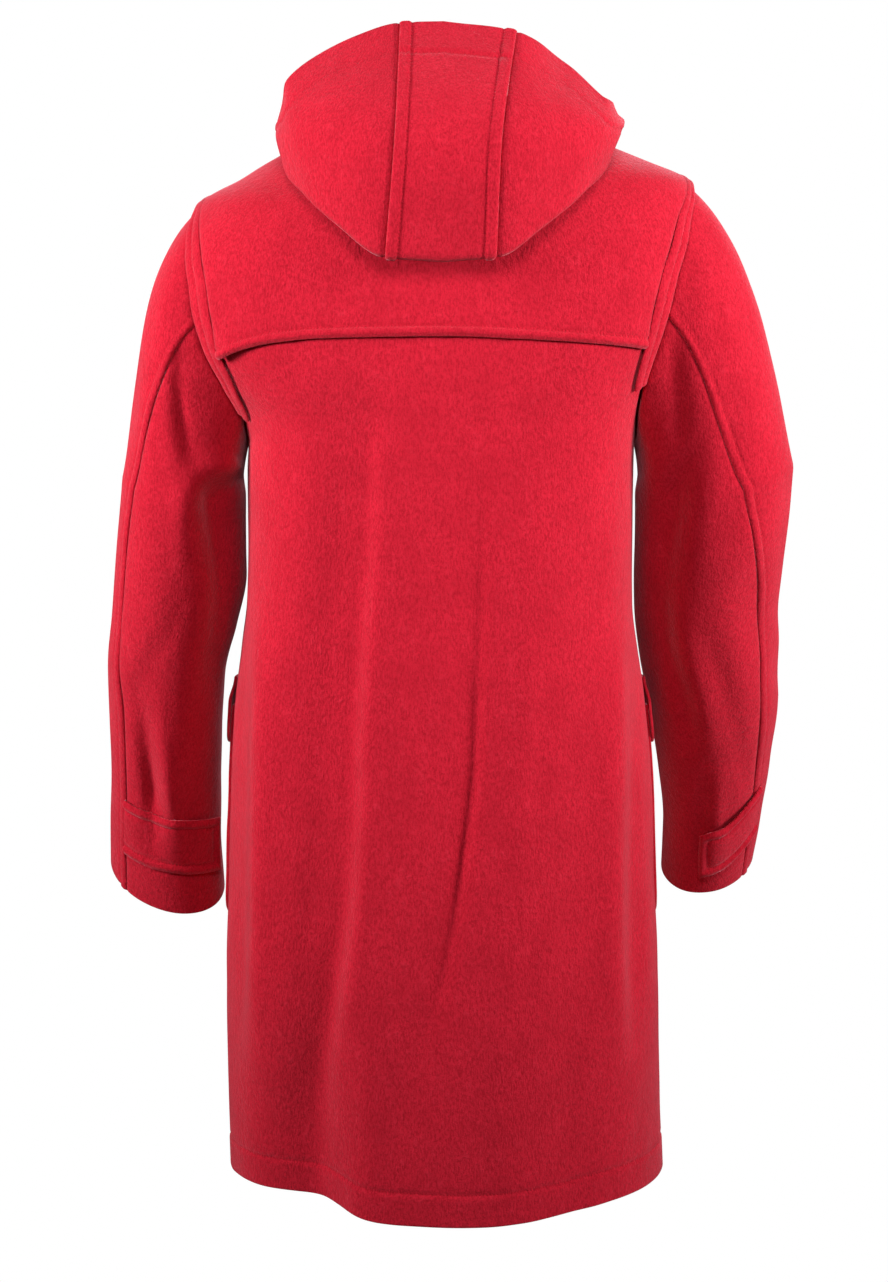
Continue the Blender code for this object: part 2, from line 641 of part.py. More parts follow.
def yoke_grid(first, last, back, cols, lower):
    """Grid between two limits; first and last give the end angles of a row."""
    grid_a = []
    grid_t = []
    shared = yoke_rows()
    for t in shared:
        a, _ = equal_steps(t, first(t), last(t), cols)
        grid_a.append(a)
        grid_t.append(np.full(cols + 1, t))
    # the last rows run down to the lower edge, column by column
    for share in np.linspace(0, 1, lower + 1)[1:]:
        t = np.full(cols + 1, shared[-1])
        a = grid_a[-1].copy()
        for _ in range(6):
            low = np.array([yoke_low(x, back) for x in a])
            t = shared[-1] + (low - shared[-1]) * share
            for k in range(cols + 1):
                row, _ = equal_steps(t[k], first(t[k]), last(t[k]), cols)
                a[k] = row[k]
        grid_a.append(a)
        grid_t.append(t)
    angles = np.array(grid_a)
    t = np.array(grid_t)
    return layer(skin(angles, t), skin_normal(angles, t), SHOULDER_LAY, CLOTH)


def yoke_front_end(side, t):
    half = float(column(BODY, BODY_COLUMNS, "left" if side > 0 else "right", t))
    n = float(column(BODY, BODY_COLUMNS, "square", t))
    return side * (math.pi - math.asin((YOKE_FRONT_END / half) ** (n / 2.0)))


def make_yoke(colour):
    parts = [yoke_grid(lambda t: band_limit(-1, t, True), lambda t: band_limit(1, t, True),
                       True, YOKE_COLS_BACK, 3)]
    for side in (1, -1):
        top, low = yoke_grid(lambda t: band_limit(side, t, False),
                             lambda t: yoke_front_end(side, t), False, YOKE_COLS_FRONT, 2)
        if side < 0:
            top, low = top[:, ::-1], low[:, ::-1]
        parts.append((top, low))
    return joined_wall("yoke", parts, colour)


def make_band(side, colour):
    theta = np.radians(np.arange(BAND_FROM[side], 316, 15))
    grows = (0.0008, 0.0040, 0.0083, 0.0125, BAND_WIDTH - SEAM)
    tops = (0.75, 1.0, 0.60, 1.0, 0.75)
    pts = []
    nrm = []
    for g in grows:
        a, t = armhole(side, theta, g)
        pts.append(skin(a, t))
        nrm.append(skin_normal(a, t))
    base = np.array(pts)
    normals = np.array(nrm)
    thick = np.repeat(np.array(tops)[:, None] * BAND_CLOTH, len(theta), 1)
    outer, inner = layer(base, normals, SHOULDER_LAY, thick)
    name = "armhole_band_left" if side > 0 else "armhole_band_right"
    return wall(name, outer, inner, colour)


# ---------------------------------------------------------------- sleeves
def arm_ring(side, s, theta):
    """Point of the sleeve's lower tube: s 0 at the upper-arm ring, 1 at the cuff."""
    table = LEFT_ARM if side > 0 else RIGHT_ARM

    def col(name):
        return column(table, ARM_COLUMNS, name, s)

    inner, outer = col("inner"), col("outer")
    mid = 0.5 * (inner + outer)
    wide = 0.5 * (outer - inner)
    lateral = -np.cos(theta)
    behind = np.sin(theta)
    x = mid + wide * lateral
    y = col("y") + col("depth") * behind
    z = col("z") + col("rise") * lateral - col("fall") * behind
    return np.stack(np.broadcast_arrays(side * x, y, z), -1)


def arm_fold(side, v, theta):
    """Height of the sleeve's folds; none at the armhole and the cuff."""
    total = 0.0 * v
    degrees = np.degrees(theta)
    for fold in LEFT_ARM_FOLDS if side > 0 else RIGHT_ARM_FOLDS:
        angle = column(fold, ARM_FOLD_COLUMNS, "angle", v)
        half = column(fold, ARM_FOLD_COLUMNS, "half", v)
        rise = column(fold, ARM_FOLD_COLUMNS, "rise", v)
        away = (np.mod(degrees - angle + 180.0, 360.0) - 180.0) / half
        total = total + rise * np.exp(-away * away)
    return total


def sleeve_point(side, v, theta):
    """v below 0 is the cap between the armhole (-1) and the upper-arm ring (0)."""
    v = np.asarray(v, float)
    theta = np.asarray(theta, float)
    v, theta = np.broadcast_arrays(v, theta)
    lower = arm_ring(side, np.clip(v, 0, 1), theta)
    a, t = armhole(side, theta)
    start = skin(a, t)
    end = arm_ring(side, np.zeros_like(v), theta)
    ahead = arm_ring(side, np.full_like(v, 0.02), theta)
    away = unit(ahead - end)
    high = 0.5 * (1 - np.cos(theta))
    lean = np.stack([side * (0.34 + 0.48 * high), 0.10 * np.sin(theta), -1.0 + 0.30 * high], -1)
    lean = unit(lean)
    reach = np.linalg.norm(end - start, axis=-1, keepdims=True)
    away = unit(away + (0.2 + 1.8 * high)[..., None] * unit(end - start))
    q = np.clip(v + 1, 0, 1)[..., None]
    h00 = (1 + 2 * q) * (1 - q) ** 2
    h10 = q * (1 - q) ** 2
    h01 = q * q * (3 - 2 * q)
    h11 = q * q * (q - 1)
    cap = h00 * start + h10 * lean * reach * 0.95 + h01 * end + h11 * away * reach * 0.95
    out = np.where((v < 0)[..., None], cap, lower)
    rise = arm_fold(side, v, theta)
    ray = np.stack([-side * np.cos(theta), np.sin(theta), 0 * theta], -1)
    return out + ray * rise[..., None]


def sleeve_normal(side, v, theta):
    e = 0.01
    ahead = sleeve_point(side, np.minimum(v + e, 1.0), theta)
    dv = ahead - sleeve_point(side, np.maximum(v - e, -1.0), theta)
    dt = sleeve_point(side, v, theta + e) - sleeve_point(side, v, theta - e)
    return unit(np.cross(dt, dv)) * side


def seam_angle(table, v):
    return np.radians(column(table, SEAM_COLUMNS, "angle", (v + 1) / 2.0))


def make_sleeve(side, upper, colour):
    v = np.concatenate([np.linspace(-1, 0, CAP_ROWS + 1), np.linspace(0, 1, SLEEVE_ROWS + 1)[1:]])
    count = 14 if upper else 10   # the same steps as the armhole rows
    angles = []
    for value in v:
        b = float(seam_angle(LEFT_SEAM if side > 0 else RIGHT_SEAM, value))
        f = float(seam_angle(FRONT_SEAM, value))
        first, last = (b, f) if upper else (f, b + 2 * math.pi)
        ring = np.linspace(first, last, count + 1)
        p = sleeve_point(side, np.full(len(ring), value), ring)
        step0 = np.linalg.norm(p[1] - p[0]) / abs(ring[1] - ring[0])
        step1 = np.linalg.norm(p[-1] - p[-2]) / abs(ring[-1] - ring[-2])
        ring = np.linspace(first + SEAM / 2 / step0, last - SEAM / 2 / step1, count + 1)
        angles.append(ring)
    theta = np.array(angles)
    vv = np.repeat(v[:, None], theta.shape[1], 1)
    outer = sleeve_point(side, vv, theta)
    normals = sleeve_normal(side, vv, theta)
    normals[0] = mitre(side, theta[0], normals[0])
    inner = outer - normals * CLOTH
    # leave the armhole seam gap: move the first row along the sleeve
    ahead = unit(outer[1] - outer[0])
    outer[0] = outer[0] + ahead * SEAM
    inner[0] = inner[0] + ahead * SEAM
    which = "upper" if upper else "under"
    name = "sleeve_%s_%s" % (which, "left" if side > 0 else "right")
    return wall(name, outer, inner, colour)


# ---------------------------------------------------------------- hood
def hood_neck(angle):
    """Neck seam, a gap above the edge of the body; the gap is wider where the seam is steep."""
    p = skin(angle, np.zeros_like(angle), False)
    steep = smooth((np.abs(angle) - math.pi / 2) / (math.pi / 4))
    return p + np.array([0, 0, SEAM * (1.0 + 2.0 * float(steep))])


def hood_rib(u):
    """Control points of one rib of the hood, u from -1 (right throat) to 1 (left)."""
    side = 1.0 if u >= 0 else -1.0
    table = HOOD_LEFT if side > 0 else HOOD_RIGHT
    w = abs(u)

    def col(name):
        return float(column(table, HOOD_COLUMNS, name, w))

    angle = side * w * math.radians(HOOD_ENDS)
    neck = hood_neck(np.array(angle))
    back_lean = unit(np.array([neck[0], neck[1], 0.0]))
    up = neck + np.array([0, 0, NECK_RISE]) + back_lean * 0.001
    roll = neck + np.array([0, 0, NECK_RISE - 0.001]) + back_lean * 0.015
    fold = np.array([side * col("fold_x"), col("fold_y"), col("fold_z")])
    belly = np.array([side * col("belly_x"), col("belly_y"), col("belly_z")])
    edge = np.array([side * col("edge_x"), col("edge_y"), col("edge_z")])
    return neck, up, roll, back_lean, fold, belly, edge


def hood_curve(u, v):
    """Point on a rib: v 0 at the neck seam, about 0.4 at the low fold, 1 at the face edge."""
    neck, up, roll, lean, fold, belly, edge = hood_rib(u)
    under = 0.5 * (roll + fold) + lean * 0.004 + np.array([0, 0, 0.012])
    # the low fold is a round turn between the two layers, not a crease
    down = unit(fold - under)
    across = belly - under
    across = unit(across - down * np.dot(across, down)) * HOOD_TURN
    keys = np.array([0.0, 0.08, 0.14, 0.30, 0.44, 0.47, 0.50, 0.72, 1.0])
    pts = np.array([neck, up, roll, under, fold - down * HOOD_TURN - across * 0.8, fold,
                    fold - down * HOOD_TURN * 0.8 + across * 1.1, belly, edge])
    return np.array([catmull(keys, pts, x) for x in v])


def catmull(keys, pts, x):
    i = int(np.clip(np.searchsorted(keys, x, side="right") - 1, 0, len(keys) - 2))
    h = keys[i + 1] - keys[i]
    s = (x - keys[i]) / h

    def slope(j):
        if j == 0:
            return (pts[1] - pts[0]) / (keys[1] - keys[0])
        if j == len(keys) - 1:
            return (pts[-1] - pts[-2]) / (keys[-1] - keys[-2])
        return (pts[j + 1] - pts[j - 1]) / (keys[j + 1] - keys[j - 1])

    a = pts[i] * (1 + 2 * s) * (1 - s) ** 2 + pts[i + 1] * s * s * (3 - 2 * s)
    return a + h * (slope(i) * s * (1 - s) ** 2 - slope(i + 1) * s * s * (1 - s))


def hood_grid(us):
    p = np.array([hood_curve(u, HOOD_V) for u in us])
    return np.transpose(p, (1, 0, 2))


def make_hood(colour):
    half_gap = 0.0006
    left = np.concatenate([[GUSSET_SHARE + half_gap, GUSSET_SHARE + 0.035],
                           np.linspace(0.26, 0.62, 4), np.linspace(0.68, 0.96, 8), [1.0]])
    middle = np.linspace(-GUSSET_SHARE + half_gap, GUSSET_SHARE - half_gap, 5)
    pieces = (("hood_side_left", left), ("hood_gusset", middle),
              ("hood_side_right", -left[::-1]))
    made = []
    e = 0.006
    for name, us in pieces:
        p = hood_grid(us)
        du = hood_grid(np.clip(us + e, -1, 1)) - hood_grid(np.clip(us - e, -1, 1))
        dv = np.gradient(p, axis=0)
        inner = p - unit(np.cross(dv, du)) * CLOTH
        made.append(wall(name, p, inner, colour))
    return made


# ---------------------------------------------------------------- pockets and flaps
def front_angle(side, t, reach):
    """Angle on the front at a distance from the side seam, measured along the cloth."""
    fine = np.linspace(math.pi / 2, math.pi, 120)
    p = skin(side * fine, np.full_like(fine, t), False)
    run = np.concatenate([[0], np.cumsum(np.linalg.norm(np.diff(p, axis=0), axis=1))])
    return side * np.interp(reach, run, fine)


def patch_grid(side, near, far, top, bottom, rounding, cols, rows):
    """Patch on a front: straight top edge, rounded lower corners."""
    across = np.linspace(near, far, cols)
    edge = np.minimum(across - near, far - across)
    inset = np.clip(rounding - edge, 0, rounding)
    low = bottom + rounding - np.sqrt(np.maximum(rounding ** 2 - inset ** 2, 0))
    share = np.linspace(0, 1, rows)[:, None]
    t = top + (low - top)[None] * share
    angles = np.array([[front_angle(side, tt, a) for tt, a in zip(row, across)] for row in t])
    return skin(angles, t), skin_normal(angles, t), t


def make_pocket(side, colour):
    base, normals, t = patch_grid(side, POCKET_NEAR, POCKET_FAR, POCKET_TOP, POCKET_BOTTOM,
                                  POCKET_ROUND, 9, 5)
    outer, inner = layer(base, normals, LAY, CLOTH)
    return wall("pocket_left" if side > 0 else "pocket_right", outer, inner, colour)


def make_flap(side, colour):
    base, normals, t = patch_grid(side, POCKET_NEAR - FLAP_OVER, POCKET_FAR + FLAP_OVER,
                                  FLAP_TOP, FLAP_BOTTOM, POCKET_ROUND * 0.7, 9, 5)
    over = smooth((FLAP_TOP - 0.004 - t) / (FLAP_TOP - POCKET_TOP - 0.008))
    outer, inner = layer(base, normals, LAY + over * (CLOTH + LAY), CLOTH)
    return wall("flap_left" if side > 0 else "flap_right", outer, inner, colour)


# ---------------------------------------------------------------- cuff tabs
def sleeve_level(side, theta, z):
    """Place along the sleeve at which its surface reaches a height."""
    lo = np.zeros_like(z)
    hi = np.ones_like(z)
    for _ in range(24):
        mid = 0.5 * (lo + hi)
        above = sleeve_point(side, mid, theta)[..., 2] > z
        lo = np.where(above, mid, lo)
        hi = np.where(above, hi, mid)
    return 0.5 * (lo + hi)


def make_tab(side, colour):
    table = TAB_LEFT if side > 0 else TAB_RIGHT
    angle = np.linspace(table[0][0], table[-1][0], 8)
    top = column(table, TAB_COLUMNS, "top", angle)
    bottom = column(table, TAB_COLUMNS, "bottom", angle)
    lift = column(table, TAB_COLUMNS, "lift", angle)
    across = np.array([0.0, 0.16, 0.22, 0.5, 0.78, 0.84, 1.0])
    z = top[None] + (bottom - top)[None] * across[:, None]
    theta = np.radians(np.repeat(angle[None], len(across), 0))
    v = sleeve_level(side, theta, z)
    base = sleeve_point(side, v, theta)
    normals = sleeve_normal(side, v, theta)
    rim = np.ones(z.shape) * TAB_RIM
    rim[2:5, 1:] = 0.0
    rim[0] *= 0.6
    rim[-1] *= 0.6
    outer, inner = layer(base, normals, TAB_LAY + lift[None] + 0 * z, CLOTH + rim)
    return wall("cuff_tab_left" if side > 0 else "cuff_tab_right", outer, inner, colour)


# ---------------------------------------------------------------- toggles
def front_at(x, z):
    """Point and outward normal of the front's form at a width and a height."""
    side = 1.0 if x >= 0 else -1.0
    t = z
    for _ in range(12):
        half = float(column(BODY, BODY_COLUMNS, "left" if side > 0 else "right", t))
        n = float(column(BODY, BODY_COLUMNS, "square", t))
        angle = side * (math.pi - math.asin(min(1.0, abs(x) / half) ** (n / 2.0)))
        t = t + (z - float(skin(np.array(angle), np.array(t))[2]))
    return skin(np.array(angle), np.array(t)), skin_normal(np.array(angle), np.array(t))


def tube(name, path, radius, colour, sides=8):
    """Round cord along a path, closed at both ends."""
    path = np.asarray(path, float)
    tangent = unit(np.gradient(path, axis=0))
    a = np.array([0.0, 0.0, 1.0])
    points = []
    for p, d in zip(path, tangent):
        a = unit(a - d * np.dot(a, d))
        b = np.cross(d, a)
        for k in range(sides):
            w = 2 * math.pi * k / sides
            points.append(p + radius * (math.cos(w) * a + math.sin(w) * b))
    return capped(name, points, sides, colour)


def capped(name, points, sides, colour):
    """Closed solid from rings of points, one ring after another."""
    rings = len(points) // sides
    faces = []
    for r in range(rings - 1):
        for k in range(sides):
            m = (k + 1) % sides
            faces.append((r * sides + k, r * sides + m, (r + 1) * sides + m, (r + 1) * sides + k))
    faces.append(tuple(reversed(range(sides))))
    faces.append(tuple((rings - 1) * sides + k for k in range(sides)))
    return solid(name, points, faces, colour)


def lifted(x, z, lift):
    p, n = front_at(x, z)
    return p + n * lift


def make_toggle_set(number, z, horn, rope, cloth):
    low = LAY + CORD + 0.0002
    high = low + 2 * CORD + LAY
    # toggle: a spindle with its long axis across the coat
    centre = lifted(TOGGLE_X, z, high + CORD + LAY + TOGGLE_THICK)
    shape = ((-1.0, 0.34), (-0.9, 0.62), (-0.6, 0.88), (0.0, 1.0), (0.6, 0.88), (0.9, 0.62),
             (1.0, 0.34))
    points = []
    sides = 12
    for a, r in shape:
        for k in range(sides):
            w = 2 * math.pi * k / sides
            points.append(centre + np.array([a * TOGGLE_LONG / 2,
                                             r * TOGGLE_THICK * math.cos(w),
                                             r * TOGGLE_THICK * math.sin(w)]))
    capped("toggle_%d" % number, points, sides, horn)
    # loop: two strands from the left patch, bent round the toggle's cord
    path = []
    bend = LOOP_BEND_X + LOOP_HALF
    for f in np.linspace(0, 1, 4)[:-1]:
        x = (LEFT_PATCH_X - SEAM) + (bend - LEFT_PATCH_X) * f
        path.append(lifted(x, z + LOOP_HALF, low + (high - low) * smooth(f * 1.2)))
    for w in np.linspace(0, math.pi, 7):
        x = bend - LOOP_HALF * math.sin(w)
        path.append(lifted(x, z + LOOP_HALF * math.cos(w), high))
    for f in np.linspace(1, 0, 4)[1:]:
        x = (LEFT_PATCH_X - SEAM) + (bend - LEFT_PATCH_X) * f
        path.append(lifted(x, z - LOOP_HALF, low + (high - low) * smooth(f * 1.2)))
    tube("loop_cord_%d" % number, path, CORD, rope)
    # the toggle's own cord: under the loop's bend, then up to the toggle
    turn = 0.0046
    path = []
    for x in np.linspace(RIGHT_PATCH_X + SEAM, TOGGLE_X - turn, 4)[:-1]:
        path.append(lifted(x, z, low))
    for w in np.linspace(0, math.pi / 2, 5):
        x = TOGGLE_X - turn + turn * math.sin(w)
        path.append(lifted(x, z, low + turn * (1 - math.cos(w))))
    path.append(lifted(TOGGLE_X, z, high + CORD + LAY - SEAM))
    tube("toggle_cord_%d" % number, path, CORD, rope)
    for side, x0 in ((1, LEFT_PATCH_X), (-1, RIGHT_PATCH_X)):
        xs = x0 + side * np.linspace(0, PATCH_LONG, 3)
        grid = []
        norms = []
        for share in np.linspace(-1, 1, 4):
            row = []
            nrow = []
            for j, x in enumerate(xs):
                f = j / 2.0
                tall = 0.5 * PATCH_TALL * (1.0 - 0.12 * f * f)
                p, n = front_at(x, z + share * tall)
                row.append(p)
                nrow.append(n)
            grid.append(row)
            norms.append(nrow)
        outer, inner = layer(np.array(grid), np.array(norms), LAY, PATCH_CLOTH)
        wall("toggle_patch_%s_%d" % ("left" if side > 0 else "right", number),
             outer, inner, cloth)


# ---------------------------------------------------------------- assembly
def clear_scene():
    for item in list(bpy.data.objects):
        bpy.data.objects.remove(item)


def main():
    clear_scene()
    wool = material("wool_red", (0.62, 0.016, 0.04), 0.9, 0.3)
    horn = material("toggle_wood", (0.16, 0.075, 0.03), 0.45)
    rope = material("toggle_rope", (0.30, 0.012, 0.025), 0.85)
    make_back(wool)
    for side in (1, -1):
        make_front(side, wool)
        make_band(side, wool)
        make_sleeve(side, True, wool)
        make_sleeve(side, False, wool)
        make_tab(side, wool)
        make_pocket(side, wool)
        make_flap(side, wool)
    make_yoke(wool)
    make_hood(wool)
    for number, z in enumerate(TOGGLE_HEIGHTS, 1):
        make_toggle_set(number, z, horn, rope, wool)


main()
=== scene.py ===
"""Looks of the duffle coat: every cut piece as thin felted cloth on its solid's form, with its
seams, topstitching, creases and nap, and the toggles and cords of the front."""
import math

import bpy
import numpy as np
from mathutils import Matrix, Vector


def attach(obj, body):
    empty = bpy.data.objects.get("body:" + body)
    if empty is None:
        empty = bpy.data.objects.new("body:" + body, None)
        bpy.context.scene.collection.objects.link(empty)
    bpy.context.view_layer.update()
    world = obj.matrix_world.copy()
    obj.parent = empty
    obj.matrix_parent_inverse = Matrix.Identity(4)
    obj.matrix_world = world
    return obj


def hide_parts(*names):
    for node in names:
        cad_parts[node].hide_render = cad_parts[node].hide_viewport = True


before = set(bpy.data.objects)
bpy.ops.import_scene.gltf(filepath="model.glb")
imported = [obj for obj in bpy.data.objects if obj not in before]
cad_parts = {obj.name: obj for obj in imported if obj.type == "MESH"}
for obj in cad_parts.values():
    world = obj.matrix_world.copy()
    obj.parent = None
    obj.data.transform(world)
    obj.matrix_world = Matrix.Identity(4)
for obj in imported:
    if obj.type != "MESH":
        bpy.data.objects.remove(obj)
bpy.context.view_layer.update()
# ---------------------------------------------------------------- driving sizes
CLOTH = 0.0026          # heavy milled wool, one layer
SEAM = 0.00012          # clear gap between two pieces that meet, too narrow to see through
LAY = 0.0010            # clear gap under a piece that lies on another
BODY_ROUND = 9          # columns from centre back to a side seam
BODY_LONG = 8           # rows from hem to underarm
ARM_ROWS = 12           # rows beside the armhole
SHOULDER_ROWS = 4       # rows from shoulder tip to neck seam
OVERLAP = 0.036         # each front passes the centre by this much
NECK_RISE = 0.016       # hood stands this much above the neck seam before it rolls back

HEM_Z = -1.036
UNDERARM_Z = -0.310
TIP_Z = -0.0764         # mean height of the two shoulder tips
TIP_SKEW = 0.0100       # left tip is lower by this, right tip is higher by this
ARMHOLE_BACK = 0.080    # half-width of the armhole towards the back
ARMHOLE_FRONT = 0.084   # and towards the front
BAND_WIDTH = 0.0165     # raised strip along each armhole seam
BAND_CLOTH = 0.0022
BAND_FROM = {1: 45, -1: 60}   # degrees round the armhole from the underarm, at the back
SHOULDER_LAY = 0.0018   # the same gap where the form is rounder

# height, half-width left, half-width right, depth back, depth front, corner squareness
BODY_COLUMNS = ("z", "left", "right", "back", "front", "square")
BODY = (
    (-1.0360, 0.2145, 0.2200, 0.191, 0.178, 2.05),
    (-0.9700, 0.2155, 0.2165, 0.187, 0.174, 2.08),
    (-0.8300, 0.2170, 0.2130, 0.180, 0.165, 2.20),
    (-0.7400, 0.2140, 0.2085, 0.174, 0.158, 2.20),
    (-0.6500, 0.2110, 0.2050, 0.167, 0.151, 2.25),
    (-0.5600, 0.2050, 0.1970, 0.159, 0.144, 2.30),
    (-0.5100, 0.1985, 0.1895, 0.155, 0.141, 2.35),
    (-0.4670, 0.1925, 0.1840, 0.152, 0.139, 2.40),
    (-0.4000, 0.1905, 0.1835, 0.149, 0.138, 2.45),
    (-0.3390, 0.1905, 0.1835, 0.147, 0.138, 2.50),
    (-0.3100, 0.1895, 0.1840, 0.147, 0.138, 2.50),
    (-0.2900, 0.1940, 0.1870, 0.147, 0.138, 2.50),
    (-0.2570, 0.2180, 0.1985, 0.148, 0.137, 2.50),
    (-0.2170, 0.2470, 0.2180, 0.148, 0.135, 2.50),
    (-0.1760, 0.2610, 0.2350, 0.145, 0.132, 2.45),
    (-0.1470, 0.2620, 0.2420, 0.142, 0.128, 2.40),
    (-0.1200, 0.2550, 0.2465, 0.137, 0.122, 2.35),
    (-0.0864, 0.2320, 0.2440, 0.125, 0.112, 2.25),
    (-0.0664, 0.1970, 0.2345, 0.115, 0.104, 2.20),
    (-0.0400, 0.1510, 0.1735, 0.101, 0.094, 2.10),
    (-0.0200, 0.1160, 0.1295, 0.090, 0.086, 2.05),
    (0.0000, 0.0820, 0.0820, 0.078, 0.078, 2.00),
)

# how far the row through a shoulder height sinks at centre back and centre front
DROP_COLUMNS = ("z", "back", "front")
DROP = (
    (-1.1000, 0.000, 0.000),
    (-0.3100, 0.000, 0.000),
    (-0.2100, 0.000, 0.028),
    (-0.1400, 0.002, 0.048),
    (-0.0764, 0.005, 0.062),
    (-0.0300, 0.009, 0.076),
    (0.0000, 0.012, 0.085),
)

# large folds of the back and fronts: each row is (height, x of the middle line, half-width,
# rise); a minus rise is a trough
FOLD_COLUMNS = ("z", "x", "half", "rise")
BACK_FOLDS = (
    ((-0.24, 0.084, 0.022, 0), (-0.4, 0.096, 0.03, -0.007), (-0.62, 0.108, 0.036, -0.01),
     (-0.8, 0.116, 0.042, -0.014), (-0.94, 0.128, 0.046, -0.024), (-1.05, 0.134, 0.048, -0.03)),
    ((-0.22, 0.04, 0.026, 0), (-0.42, 0.05, 0.028, 0.006), (-0.62, 0.064, 0.028, 0.007),
     (-0.8, 0.072, 0.03, 0.007), (-1.05, 0.084, 0.034, 0.004)),
    ((-0.23, -0.034, 0.014, 0), (-0.46, -0.026, 0.018, -0.005), (-0.62, -0.022, 0.018, -0.005),
     (-0.72, -0.012, 0.02, -0.005), (-0.84, 0.006, 0.022, -0.004), (-1.05, 0.05, 0.022, 0)),
    ((-0.24, -0.072, 0.03, 0), (-0.46, -0.064, 0.032, 0.005), (-0.62, -0.058, 0.034, 0.005),
     (-0.8, -0.044, 0.036, 0.005), (-1.05, -0.034, 0.04, 0.003)),
    # narrow creases on the steps between them
    ((-0.24, 0.066, 0.01, 0), (-0.36, 0.071, 0.01, -0.0024), (-0.56, 0.086, 0.011, -0.0036),
     (-0.68, 0.09, 0.012, -0.004), (-0.8, 0.108, 0.013, -0.0046), (-0.93, 0.132, 0.014, -0.0026),
     (-1.05, 0.146, 0.014, 0)),
    ((-0.24, 0.05, 0.01, 0), (-0.36, 0.052, 0.01, 0.0018), (-0.56, 0.067, 0.011, 0.0026),
     (-0.68, 0.07, 0.012, 0.003), (-0.8, 0.087, 0.013, 0.0034), (-0.95, 0.11, 0.014, 0.0018),
     (-1.05, 0.12, 0.014, 0)),
    # the back turns in beside each sleeve
    ((-0.46, 0.196, 0.012, 0), (-0.58, 0.197, 0.013, -0.008), (-0.8, 0.2, 0.013, -0.01),
     (-0.94, 0.204, 0.014, 0)),
    ((-0.46, 0.172, 0.012, 0), (-0.6, 0.173, 0.012, 0.003), (-0.8, 0.176, 0.013, 0.0034),
     (-0.94, 0.18, 0.014, 0)),
    ((-0.46, -0.188, 0.012, 0), (-0.58, -0.188, 0.012, -0.007), (-0.78, -0.188, 0.012, -0.009),
     (-0.92, -0.19, 0.013, 0)),
    ((-0.46, -0.166, 0.012, 0), (-0.6, -0.166, 0.012, 0.0024), (-0.78, -0.166, 0.012, 0.003),
     (-0.92, -0.168, 0.013, 0)),
    ((-0.22, -0.0385, 0.0046, 0), (-0.3, -0.037, 0.0048, -0.0014), (-0.5, -0.032, 0.005, -0.0024),
     (-0.6, -0.0285, 0.0052, -0.0036), (-0.68, -0.019, 0.0056, -0.0036),
     (-0.79, 0, 0.007, -0.0024), (-0.9, 0.035, 0.011, -0.001), (-1.05, 0.065, 0.012, 0)),
    ((-0.42, -0.046, 0.009, 0), (-0.56, -0.042, 0.009, 0.0012), (-0.68, -0.032, 0.01, 0.0016),
     (-0.84, -0.004, 0.012, 0.0014), (-0.98, 0.03, 0.014, 0.0008), (-1.05, 0.048, 0.014, 0)),
    ((-0.3, 0.008, 0.016, 0), (-0.44, 0.012, 0.015, -0.001), (-0.62, 0.02, 0.015, -0.0014),
     (-0.8, 0.033, 0.016, -0.0009), (-1.05, 0.03, 0.018, 0)),
    ((-0.36, -0.09, 0.014, 0), (-0.5, -0.094, 0.014, -0.0012), (-0.66, -0.089, 0.016, -0.0016),
     (-0.86, -0.076, 0.018, -0.0012), (-1.05, -0.07, 0.02, 0)),
    ((-0.58, 0.132, 0.012, 0), (-0.74, 0.144, 0.013, 0.0016), (-0.88, 0.158, 0.014, 0.0018),
     (-1.05, 0.17, 0.016, 0)),
    ((-0.3, -0.136, 0.03, 0), (-0.5, -0.134, 0.034, -0.005), (-0.75, -0.128, 0.036, -0.007),
     (-1.05, -0.12, 0.04, -0.006)),
    ((-0.42, 0.168, 0.02, 0), (-0.62, 0.174, 0.022, 0.004), (-0.85, 0.182, 0.024, 0.005),
     (-1.05, 0.186, 0.026, 0.006)),
)
FRONT_FOLDS = (
    ((-0.34, 0.126, 0.04, 0), (-0.6, 0.122, 0.042, -0.003), (-0.84, 0.11, 0.042, -0.006),
     (-1.05, 0.104, 0.044, -0.008)),
    ((-0.34, -0.128, 0.04, 0), (-0.6, -0.118, 0.042, -0.003), (-0.84, -0.114, 0.042, -0.005),
     (-1.05, -0.116, 0.044, -0.007)),
    ((-0.78, 0.164, 0.032, 0), (-0.9, 0.162, 0.034, 0.003), (-1.05, 0.16, 0.036, 0.005)),
)

# the hem is lifted a little beside the deep left fold; angle in degrees from centre back
HEM_COLUMNS = ("angle", "lift")
HEM_LIFT = ((-180, 0.004), (-90, 0.002), (-50, 0.004), (-20, 0.000), (15, 0.001), (38, 0.009),
            (62, 0.010), (90, 0.002), (180, 0.004))

# sleeve rings: share of the way from upper arm to cuff, height, inner and outer reach from the
# middle, forward set, half-depth, rise of the outer side, fall of the back side
ARM_COLUMNS = ("share", "z", "inner", "outer", "y", "depth", "rise", "fall")
LEFT_ARM = (
    (0.000, -0.3650, 0.1965, 0.3138, -0.002, 0.070, 0.020, 0.006),
    (0.143, -0.4274, 0.1965, 0.3208, -0.008, 0.066, 0.012, 0.006),
    (0.286, -0.4860, 0.2062, 0.3280, -0.018, 0.061, 0.008, 0.010),
    (0.429, -0.5400, 0.2188, 0.3345, -0.031, 0.056, 0.008, 0.014),
    (0.571, -0.6000, 0.2240, 0.3362, -0.048, 0.053, 0.008, 0.018),
    (0.714, -0.6600, 0.2268, 0.3378, -0.066, 0.050, 0.010, 0.022),
    (0.857, -0.7100, 0.2290, 0.3412, -0.081, 0.048, 0.013, 0.026),
    (1.000, -0.7600, 0.2265, 0.3436, -0.094, 0.047, 0.016, 0.030),
)
